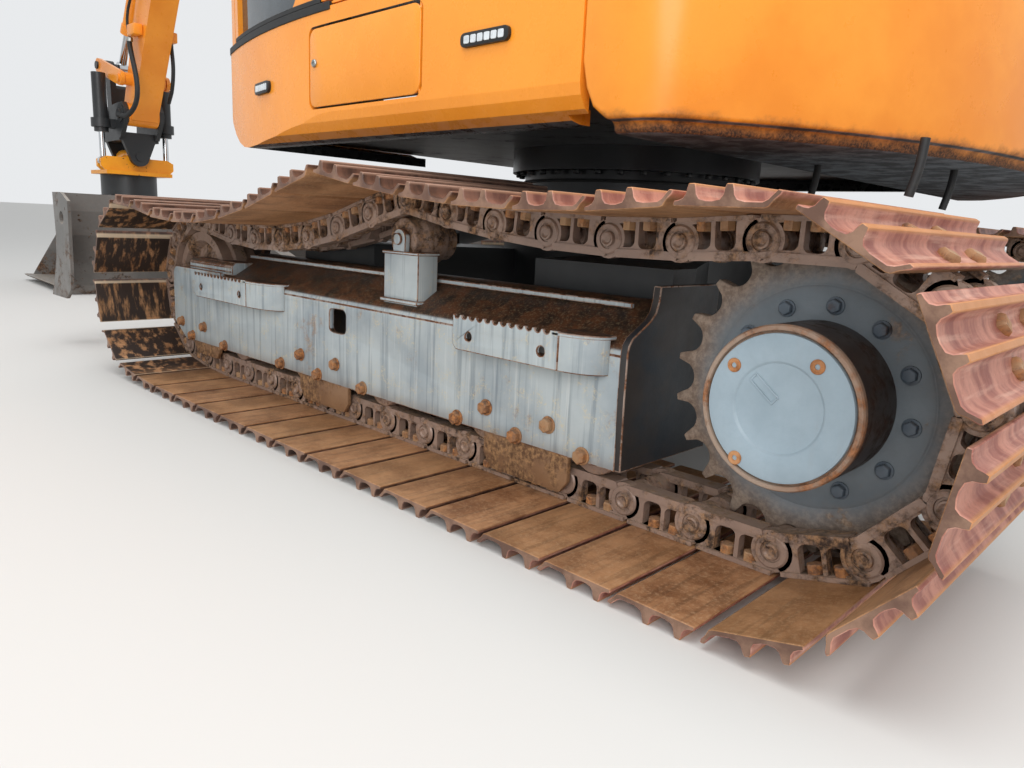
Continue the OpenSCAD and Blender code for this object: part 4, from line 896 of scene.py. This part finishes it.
def toothed(inset):
    """Radius of the sprocket's outline, drawn smaller by an inset, at a turn from the upright."""
    step = 2 * math.pi / TEETH
    first = -math.pi - FIRST_PIN / SPROCKET_RADIUS
    reach = SPROCKET_RADIUS + 1

    def radius(turn):
        off = (turn - first + step / 2) % step - step / 2
        tip = SPROCKET_RADIUS + TIP_REACH - inset
        room = (SCALLOP_RADIUS + inset) ** 2 - (reach * math.sin(off)) ** 2
        return min(tip, reach * math.cos(off) - math.sqrt(room)) if room > 0 else tip

    return radius


def on_wheel(radius, degrees, y):
    """Point at a distance and an angle from the sprocket's centre."""
    a = math.radians(degrees)
    return (SPROCKET.x + radius * math.cos(a), y, SPROCKET.y + radius * math.sin(a))


# Bolts of the track frame's side plate: x, z
FRAME_BOLTS = [
    (-678, 146), (-492, 146), (-301, 146), (80, 146), (301, 146), (510, 146), (888, 146), (1140, 148), (-584, 190),
    (-397, 190), (211, 190), (395, 190), (1044, 190), (1227, 190),
]
# Guards under the side plate: rear end, front end, lower edge
GUARDS = [(941, 1139, 88), (157, 409, 58), (-639, -389, 51)]
# Steps on the side plate: end of its round rear, start of the straight part, front end, lower edge, upper edge
STEPS_ON_FRAME = [(-728, -640, -330, 318, 396), (487, 632, 1000, 306, 388)]


def step_shape(rear, straight, front, low, high):
    """Step of bent plate with a notched edge, its rear end curved back to the track frame under a closed top."""
    shape = Shape()
    out = FRAME_FACE + 50
    turns = [math.radians(90 * k / 10) for k in range(11)]
    curve = [(straight - (straight - rear) * math.sin(a), FRAME_FACE - 2 + 52 * math.cos(a)) for a in turns]
    inner = [(x + 7 * math.sin(a), y - 8 * math.cos(a)) for (x, y), a in zip(curve, turns)]
    shape.prism(curve + inner[::-1], "Z", low, high - 6)
    # closed top over the curved end, falling a little towards the edge
    top = curve + [(rear, FRAME_FACE - 20), (straight + 20, FRAME_FACE - 20), (straight + 20, out)]
    shape.prism(top, "Z", high - 10, high - 1)
    # straight plate with half-round notches and two holes
    edge = [(front, high)]
    x = front - 14
    while x > straight + 20:
        edge += round_part(x, high, 8, 0, -180, 6)
        x -= 24
    outline = [(straight, high), (straight, low), (front - 12, low), (front, low + 12)] + edge
    holes = [round_part(front - u, (low + high) / 2 - 6, 10, 0, 330, 11) for u in (52, front - straight - 45)]
    shape.plate([outline] + holes, "Y", out - 8, out)
    # gusset at the open end and floor of the step
    shape.box((front - 8, FRAME_FACE - 1, low + 8), (front, out - 7, high - 12))
    return shape.box((straight, FRAME_FACE - 1, low + 14), (front - 8, out - 7, low + 20))


def frame_shape():
    """Track frame: side plate with its bent top edge, top, bulkhead, steps, and the carrier roller's post."""
    shape = Shape()
    rear, front, corner = -770, 1294, 360
    hole = rounded_box((164, 279), (244, 344), 14)
    side = [(rear + 12, 133), (1205, 130), (front, 189), (front, 330)] + round_part(front - 38, 352, 38, -20, 90, 6)
    side += [(907, 390), (907, corner), (rear + 12, corner)]
    shape.plate([side, hole], "Y", FRAME_FACE - 16, FRAME_FACE)
    # bent top edge and sloping top, in front view as y from the chain's middle and z
    bend = [(CHAIN_Y + a, b) for a, b in round_part(79, corner, 26, 0, 60, 6)]
    skin = bend + [(CHAIN_Y - 25, 455), (CHAIN_Y - 85, 455), (CHAIN_Y - 105, 435), (CHAIN_Y - 105, 130)]
    lining = [(-89, 130), (-89, 428), (-80, 438), (-27, 438), (85, 368), (89, corner)]
    lining = [(CHAIN_Y + a, b) for a, b in lining]
    shape.prism(skin + lining, "X", rear + 10, 908)
    shape.box((907, CHAIN_Y - 105, 130), (front, CHAIN_Y - 89, 435))
    # ridge along the top and cover of the idler's fork
    shape.box((-700, CHAIN_Y - 4, 440), (890, CHAIN_Y + 6, 452))
    cover = [(20, 385), (96, 385), (96, 416), (84, 428), (20, 428)]
    shape.prism([(CHAIN_Y + a, b) for a, b in cover], "X", 840, 1165)
    for z in (394, 408):
        shape.box((845, CHAIN_Y + 90, z), (1160, CHAIN_Y + 99, z + 5))
    # bulkhead at the rear, marked 1 for its near black painted shade
    edge = [(103, 134), (107, 278), (107, 366), (104, 382), (94, 395), (71, 408), (40, 425), (24, 440)]
    edge += [(16, 462), (13, 491), (-206, 491), (-206, 134)]
    shape.prism([(CHAIN_Y + a, b) for a, b in edge], "X", rear - 1, rear + 17, mark=1.0)
    # post of the carrier roller and its neck
    shape.box((-122, 960, 380), (16, 1023, 511))
    shape.box((-126, 957, 508), (20, 1027, 516))
    shape.box((-128, 990, 388), (22, 1031, 398))
    neck = [(-68, 510), (-20, 510)] + round_part(-44, 546, 26, -12, 192, 12)
    shape.prism(neck, "Y", 1007, 1023)
    shape.turned((-44, 1023, 546), "Y", [(15, 0), (15, 5), (12, 7)], 16)
    for step in STEPS_ON_FRAME:
        shape.join(step_shape(*step))
    return shape.mirrored()


# Lower rollers along the track frame
ROLLERS = (-690, -375, 20, 415, 810)


def rollers_shape():
    """Lower rollers with their flanges and collars, and the carrier roller on its axle."""
    shape = Shape()
    height = PIN_Z + RAIL_HEIGHT + 62
    half = [(26, 88), (40, 88), (40, 84), (60, 84), (62, 81), (62, 38), (70, 34), (72, 31)]
    for x in ROLLERS:
        shape.turned((x, CHAIN_Y, height), "Y", half + [(r, -y) for r, y in reversed(half)], 40)
    carrier = [(14, 92), (14, 70), (48, 66), (52, 62), (52, 40), (62, 32), (64, 28), (64, -28), (62, -32), (52, -40)]
    carrier += [(52, -70), (14, -70), (14, -92)]
    return shape.turned((-32, CHAIN_Y, 546), "Y", carrier, 40).mirrored()


def guards_shape():
    """Guards that hang below the track frame's side plate."""
    shape = Shape()
    for rear, front, low in GUARDS:
        outline = [(rear, 140), (rear, low + 26), (rear + 20, low), (front - 26, low), (front, low + 34), (front, 140)]
        shape.prism(outline, "Y", FRAME_FACE - 15, FRAME_FACE - 3)
    return shape.mirrored()


def sprocket_shape():
    """Toothed ring: thin teeth, a sloping step that follows them, and a fine line just outside the bolts."""
    profile = [(132, -20), (toothed(22), -20), (toothed(2), -14), (toothed(0), -11), (toothed(0), 11), (toothed(2), 13)]
    profile += [(toothed(12), 15), (toothed(24), 20), (191, 20), (190, 18.6), (187, 18.6), (186, 20), (132, 20)]
    shape = Shape().turned((SPROCKET.x, CHAIN_Y, SPROCKET.y), "Y", profile, TEETH * 14)
    return shape.mirrored()


# Sprocket bolts: radius of their circle, angle of the first and their count
WHEEL_BOLTS = (157.3, 66.2, 12)


def wheel_bolts_shape():
    """Bolts that hold the toothed ring to the hub."""
    shape = Shape()
    radius, first, count = WHEEL_BOLTS
    for i in range(count):
        shape.bolt(on_wheel(radius, first + 360 / count * i, CHAIN_Y + 20), "Y", 1, 21, 13, washer=15)
    return shape.mirrored()


# Plugs of the hub's cover as its radius and angle
HUB_PLUGS = [(97, 36), (93, 126), (111, -57)]


def hub_shapes():
    """Side of the hub, its rim, its cover with the sunk middle, the plugs and the blank cast plate."""
    centre = (SPROCKET.x, CHAIN_Y, SPROCKET.y)
    flange = [(60, -150), (131, -150), (131, -60), (168, -60), (168, -21), (131, -20), (131, 143)]
    side = Shape().turned(centre, "Y", flange, 72)
    edge = [(131.3, 141), (131.3, 150), (129, 153), (123, 153.5), (122, 152), (122, 144)]
    rim = Shape().turned(centre, "Y", edge, 96)
    face = [(118, 140), (118, 152.5), (117, 153.5), (76, 153.5), (73, 152), (71, 149.5), (0.5, 149.5)]
    cover = Shape().turned(centre, "Y", face, 96)
    # blank cast plate in the sunk middle
    tilt = Matrix.Translation((-1063.6, CHAIN_Y + 149, 360.9)) @ Matrix.Rotation(math.radians(-39.4), 4, "Y")
    border = [rounded_box((-27, -9), (27, 9), 2), rounded_box((-23, -5.5), (23, 5.5), 1)]
    label = Shape().plate(border, "Y", 0, 2.5).moved(tilt)
    cover.join(label)
    plugs = Shape()
    for radius, turn in HUB_PLUGS:
        x, y, z = on_wheel(radius, turn, CHAIN_Y + 150)
        plugs.turned((x, y, z), "Y", [(11.5, 0), (11.5, 5), (10.5, 6), (4.5, 6), (4, 1.5), (0.5, 1.5)], 24)
    return [shape.mirrored() for shape in (side, rim, cover, plugs)]


class EXCAVATOR_OT_undercarriage(bpy.types.Operator):
    """Build the track frames, sprockets and hubs with their fasteners"""

    bl_idname = "excavator.undercarriage"
    bl_label = "Undercarriage"

    def execute(self, context):
        frames = piece("track_frames_worn", frame_shape(), "chassis", "grey grey_edge", 2.5)
        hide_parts("track_frame_left", "track_frame_right")
        rollers = piece("rollers_worn", rollers_shape(), "chassis", "links", 1.0, 1)
        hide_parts("rollers")
        piece("track_guards", guards_shape(), "chassis", "bare", 2.0)
        bolts = Shape()
        for x, z in FRAME_BOLTS:
            bolts.bolt((x, FRAME_FACE, z), "Y", 1, 27, 17, washer=19)
        piece("frame_bolts", bolts.mirrored(), "chassis", "bolts", 1.2)
        sprockets = piece("sprockets_worn", sprocket_shape(), "chassis", "sprocket", 1.0, 1)
        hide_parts("sprockets")
        piece("sprocket_bolts", wheel_bolts_shape(), "chassis", "painted_bolts", 1.0)
        side, rim, cover, plugs = hub_shapes()
        hub = piece("hubs_worn", side, "chassis", "hub_side", 1.0, 1)
        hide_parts("final_drives")
        piece("hub_rims", rim, "chassis", "hub_rim")
        piece("hub_covers", cover, "chassis", "hub", 0.8, 1)
        piece("hub_plugs", plugs, "chassis", "plug")
        return {"FINISHED"}


def side_line(x):
    """Half width of the side panels' plan, bowed inwards ahead of the cab door's hinge post."""
    return FLANK - (BOW_RADIUS - math.sqrt(BOW_RADIUS**2 - max(0.0, x - BOW_START) ** 2))


def nose_band(start, end, outer, inner, low, high):
    """Strip that follows the side panels' plan round the left front corner."""
    edges = []
    for off in (outer, inner):
        line = [(x, side_line(x) + off) for x in range(start, min(end, BOW_END), 30)]
        if end > BOW_END:
            line += round_part(*CORNER, CORNER_RADIUS + off, CORNER_TURN, 0, 12)
            line.append((CORNER[0] + CORNER_RADIUS + off, SEAL_END))
        edges.append(line)
    return Shape().prism(edges[0] + edges[1][::-1], "Z", low, high)


# Seal on top of the panels and strip below the door: rear end, front end, outer and inner offset, lower, upper edge
PANEL_SEAL = (167, 1010, 3, -8, 1092, 1112)
SILL_STRIP = (215, 850, 1, -8, 1113, 1126)
# Middle of the hatch's lock
LOCK_PLACE = (240, 1080, 974)
# Marker lamps on the left panel: middle in x, y, z, length, height and turn in degrees
MARKER_CELLS = 6
MARKERS = [(-400, 1085, 957, 139, 28, 0.0), (562, 1054, 945, 112, 32, -8.7)]


def marker_shapes():
    """Flat housings of the marker lamps and their cells."""
    housing, cells = Shape(), Shape()
    for x, y, z, length, height, turn in MARKERS:
        place = Matrix.Translation((x, y, z)) @ Matrix.Rotation(math.radians(turn), 4, "Z")
        corner = Vector((length / 2, height / 2))
        housing.join(Shape().prism(rounded_box(-corner, corner, height * 0.4), "Y", -2, 9).moved(place))
        step = (length - 20) / MARKER_CELLS
        for i in range(MARKER_CELLS):
            middle = -length / 2 + 10 + step * (i + 0.5)
            low, high = (middle - step * 0.4, -height * 0.28), (middle + step * 0.4, height * 0.28)
            cells.join(Shape().prism(rounded_box(low, high, 3), "Y", 8, 10.5).moved(place))
    return housing, cells


# Drain hoses under the counterweight: where each leaves and how far it hangs, in millimetres
DRAINS = [(-820, 425, 100), (-1137, 740, 98), (-1055, 248, 99)]


def hose(name, path, diameter, sides, body):
    """Rubber hose along a path."""
    obj = piece(name, Shape().tube(path, diameter / 2, sides), body, "rubber")
    length = sum((b - a).length for a, b in zip(path, path[1:])) * MM
    route = [tuple(p * MM) for p in path]


def drain_hose(name, x, y, drop):
    """Short rubber drain hose hanging from the counterweight's underside."""
    points = [(x, y, DRAIN_EXIT), (x + 3, y + 2, DRAIN_EXIT - drop * 0.5), (x + 12, y + 6, DRAIN_EXIT - drop)]
    hose(name, smooth_path(points, 8), DRAIN_DIAMETER, 14, "upper")


# Hoses beside the arm down to the tilt head: diameter and the points they pass
THICK_HOSE = [(4115, 126, 1700), (4115, 127, 1644), (4018, 130, 1413), (4036, 136, 1281), (4150, 152, 1206)]
ARM_HOSES = [
    (32, THICK_HOSE + [(4290, 168, 1214)]),
    (18, [(4060, 121, 1960), (4130, 122, 1880), (4150, 124, 1790), (4118, 122, 1700)]),
    (26, [(4071, -128, 1720), (4052, -130, 1549), (4094, -134, 1412), (4199, -150, 1328)]),
]
# Blocks that hold the hoses, by their corners, and the fittings below them with their radius
HOSE_BLOCKS = [((3975, 90, 1705), (4100, 150, 1775)), ((4000, -148, 1700), (4110, -90, 1768))]
HOSE_FITTINGS = [((4115, 126, 1690), 20), ((4071, -128, 1690), 17)]


class EXCAVATOR_OT_arm(bpy.types.Operator):
    """Build the hoses beside the arm and the blocks that hold them"""

    bl_idname = "excavator.arm"
    bl_label = "Arm"

    def execute(self, context):
        for i, (diameter, points) in enumerate(ARM_HOSES):
            hose(f"arm_hose_{i + 1}", smooth_path(points, 10), diameter, 16, "arm")
        blocks = Shape()
        for low, high in HOSE_BLOCKS:
            blocks.box(low, high)
        piece("hose_blocks", blocks, "arm", "orange", 8.0)
        fittings = Shape()
        for place, r in HOSE_FITTINGS:
            fittings.turned(place, "Z", [(r, -14), (r, 14)], 6)
        piece("hose_fittings", fittings, "arm", "zinc", 1.5)
        return {"FINISHED"}


class EXCAVATOR_OT_upper(bpy.types.Operator):
    """Build the panels' rounded edges, the seals, marker lamps, ring bolts and drain hoses"""

    bl_idname = "excavator.upper"
    bl_label = "Upper structure"

    def execute(self, context):
        softened("counterweight", "orange_cast", 9.0, 3)
        softened("service_hatch", "orange_panel", 2.0)
        piece("panel_seal", nose_band(*PANEL_SEAL), "upper", "rubber", 1.5, 1)
        piece("door_sill_strip", nose_band(*SILL_STRIP), "cab_door", "rubber", 1.5, 1)
        housing, cells = marker_shapes()
        piece("marker_housings", housing, "upper", "plastic", 1.2)
        piece("marker_cells", cells, "upper", "lens", 0.6, 1)
        lock = Shape().turned(LOCK_PLACE, "Y", [(10, 0), (10, 7), (8.5, 9), (4, 9), (3.5, 7), (0.5, 7)], 24)
        piece("hatch_lock", lock, "service_hatch", "zinc")
        bolts = Shape()
        for x, y in round_part(0, 0, RING_BOLT_RADIUS, 0, 360, RING_BOLTS)[:-1]:
            bolts.bolt((x, y, RING_SEAT), "Z", -1, 19, 12)
        piece("ring_bolts", bolts, "upper", "black", 0.8, 1)
        lip = Shape().turned((0, 0, RING_LIP), "Z", [(362, -5), (372, -5), (374, 0), (372, 5), (362, 5)], 96)
        piece("ring_seal", lip, "upper", "rubber")
        for i, (x, y, drop) in enumerate(DRAINS):
            drain_hose(f"drain_hose_{i + 1}", x, y, drop)
        return {"FINISHED"}


class EXCAVATOR_OT_finish(bpy.types.Operator):
    """Make the finishes and give the CAD nodes that show theirs"""

    bl_idname = "excavator.finish"
    bl_label = "Finishes"

    def execute(self, context):
        make_finishes(context.scene.excavator_look)
        for finish, names in NODE_FINISHES.items():
            for name in names.split():
                data = frame["nodes"][name].data
                data.materials.clear()
                data.materials.append(FINISHES[finish])
        return {"FINISHED"}


# Camera of the photograph: focal length and width in its pixels, place in metres, yaw, pitch and roll in radians
FOCAL_PX = 761.847
PHOTO_WIDTH_PX = 1024
CAMERA_PLACE = Vector((-1.59045, 2.20124, 0.59316))
CAMERA_TURNS = (0.804721, 0.205654, 0.047944)
# Half of the floor's side in metres
FLOOR_HALF = 400.0


class EXCAVATOR_OT_stage(bpy.types.Operator):
    """Set up the camera, the floor and the lights"""

    bl_idname = "excavator.stage"
    bl_label = "Studio"

    def execute(self, context):
        scene = context.scene
        look = scene.excavator_look
        scene.view_settings.view_transform = "Standard"
        # camera at the photograph's place, behind and left of the machine, near the ground
        data = bpy.data.cameras.new("Camera")
        data.sensor_width = 36.0
        data.lens = data.sensor_width * FOCAL_PX / PHOTO_WIDTH_PX
        data.clip_start, data.clip_end = 0.05, 300
        camera = placed("Camera", data)
        yaw, pitch, roll = CAMERA_TURNS
        ahead = Vector((math.cos(yaw) * math.cos(pitch), -math.sin(yaw) * math.cos(pitch), -math.sin(pitch)))
        right = Vector((-math.sin(yaw), -math.cos(yaw), 0))
        up = right.cross(ahead)
        side = math.cos(roll) * right + math.sin(roll) * up
        top = -math.sin(roll) * right + math.cos(roll) * up
        turn = Matrix((side, top, -ahead)).transposed().to_4x4()
        camera.matrix_world = Matrix.Translation(CAMERA_PLACE) @ turn
        scene.camera = camera
        # floor
        mesh = bpy.data.meshes.new("floor")
        s = FLOOR_HALF
        mesh.from_pydata([(-s, -s, 0), (s, -s, 0), (s, s, 0), (-s, s, 0)], [], [(0, 1, 2, 3)])
        mesh.materials.append(Coat("studio_floor").finish({"Base Color": linear("D2D1CE"), "Roughness": 0.7}))
        placed("floor", mesh)
        # lamps: a broad overhead sheet and a softer one from the camera's side
        for name, place, aim, size, power in (
            ("overhead", (-1.0, 2.0, 7.5), (0, 0, 0.8), 7.0, look.key_power),
            ("side", (-4.5, 6.5, 3.2), (0, 0.5, 0.5), 5.0, look.fill_power),
        ):
            lamp = bpy.data.lights.new(name, "AREA")
            lamp.shape = "DISK"
            lamp.size = size
            lamp.energy = power
            held = placed(name, lamp)
            held.location = place
            held.rotation_mode = "QUATERNION"
            held.rotation_quaternion = (Vector(aim) - Vector(place)).to_track_quat("-Z", "Y")
        world = bpy.data.worlds.new("studio")
        scene.world = world
        world.use_nodes = True
        tree = world.node_tree
        tree.nodes.clear()
        path = add(tree, "ShaderNodeLightPath")
        rays = [Value(tree, path.outputs[f"Is {kind} Ray"]) for kind in ("Camera", "Glossy", "Transmission")]
        seen = rays[0].maximum(rays[1]).maximum(rays[2]).socket
        light = add(tree, "ShaderNodeBackground", {"Color": linear("F4F6F8"), "Strength": look.sky_level})
        shown = add(tree, "ShaderNodeBackground", {"Color": linear("EEF0F2"), "Strength": 0.95})
        mixed = add(tree, "ShaderNodeMixShader", {0: seen, 1: light.outputs[0], 2: shown.outputs[0]})
        add(tree, "ShaderNodeOutputWorld", {0: mixed.outputs[0]})
        return {"FINISHED"}


class ExcavatorLook(bpy.types.PropertyGroup):
    paint_hex: StringProperty(name="Paint", description="Enamel of the upper structure", default="F59A2E")
    key_power: FloatProperty(
        name="Overhead lamp", description="Power of the overhead lamp", default=420.0, min=0, unit="POWER"
    )
    fill_power: FloatProperty(
        name="Side lamp", description="Power of the lamp beside the camera", default=260.0, min=0, unit="POWER"
    )
    sky_level: FloatProperty(name="Sky", description="Strength of the light from all round", default=0.75, min=0.0)


class EXCAVATOR_PT_panel(bpy.types.Panel):
    bl_idname = "EXCAVATOR_PT_panel"
    bl_label = "Excavator"
    bl_space_type = "VIEW_3D"
    bl_region_type = "UI"
    bl_category = "Excavator"

    def draw(self, context):
        look = context.scene.excavator_look
        for name in look.__annotations__:
            self.layout.prop(look, name)
        for step in STEPS:
            self.layout.operator(step.bl_idname)


STEPS = (
    EXCAVATOR_OT_finish, EXCAVATOR_OT_stage, EXCAVATOR_OT_tracks, EXCAVATOR_OT_undercarriage, EXCAVATOR_OT_upper,
    EXCAVATOR_OT_arm,
)
CLASSES = (ExcavatorLook, EXCAVATOR_PT_panel) + STEPS


def register():
    for cls in CLASSES:
        bpy.utils.register_class(cls)
    bpy.types.Scene.excavator_look = PointerProperty(type=ExcavatorLook)


def unregister():
    del bpy.types.Scene.excavator_look
    for cls in reversed(CLASSES):
        bpy.utils.unregister_class(cls)


def main():
    register()
    for step in STEPS:
        group, name = step.bl_idname.split(".")
        getattr(getattr(bpy.ops, group), name)()


if __name__ == "__main__":
    main()
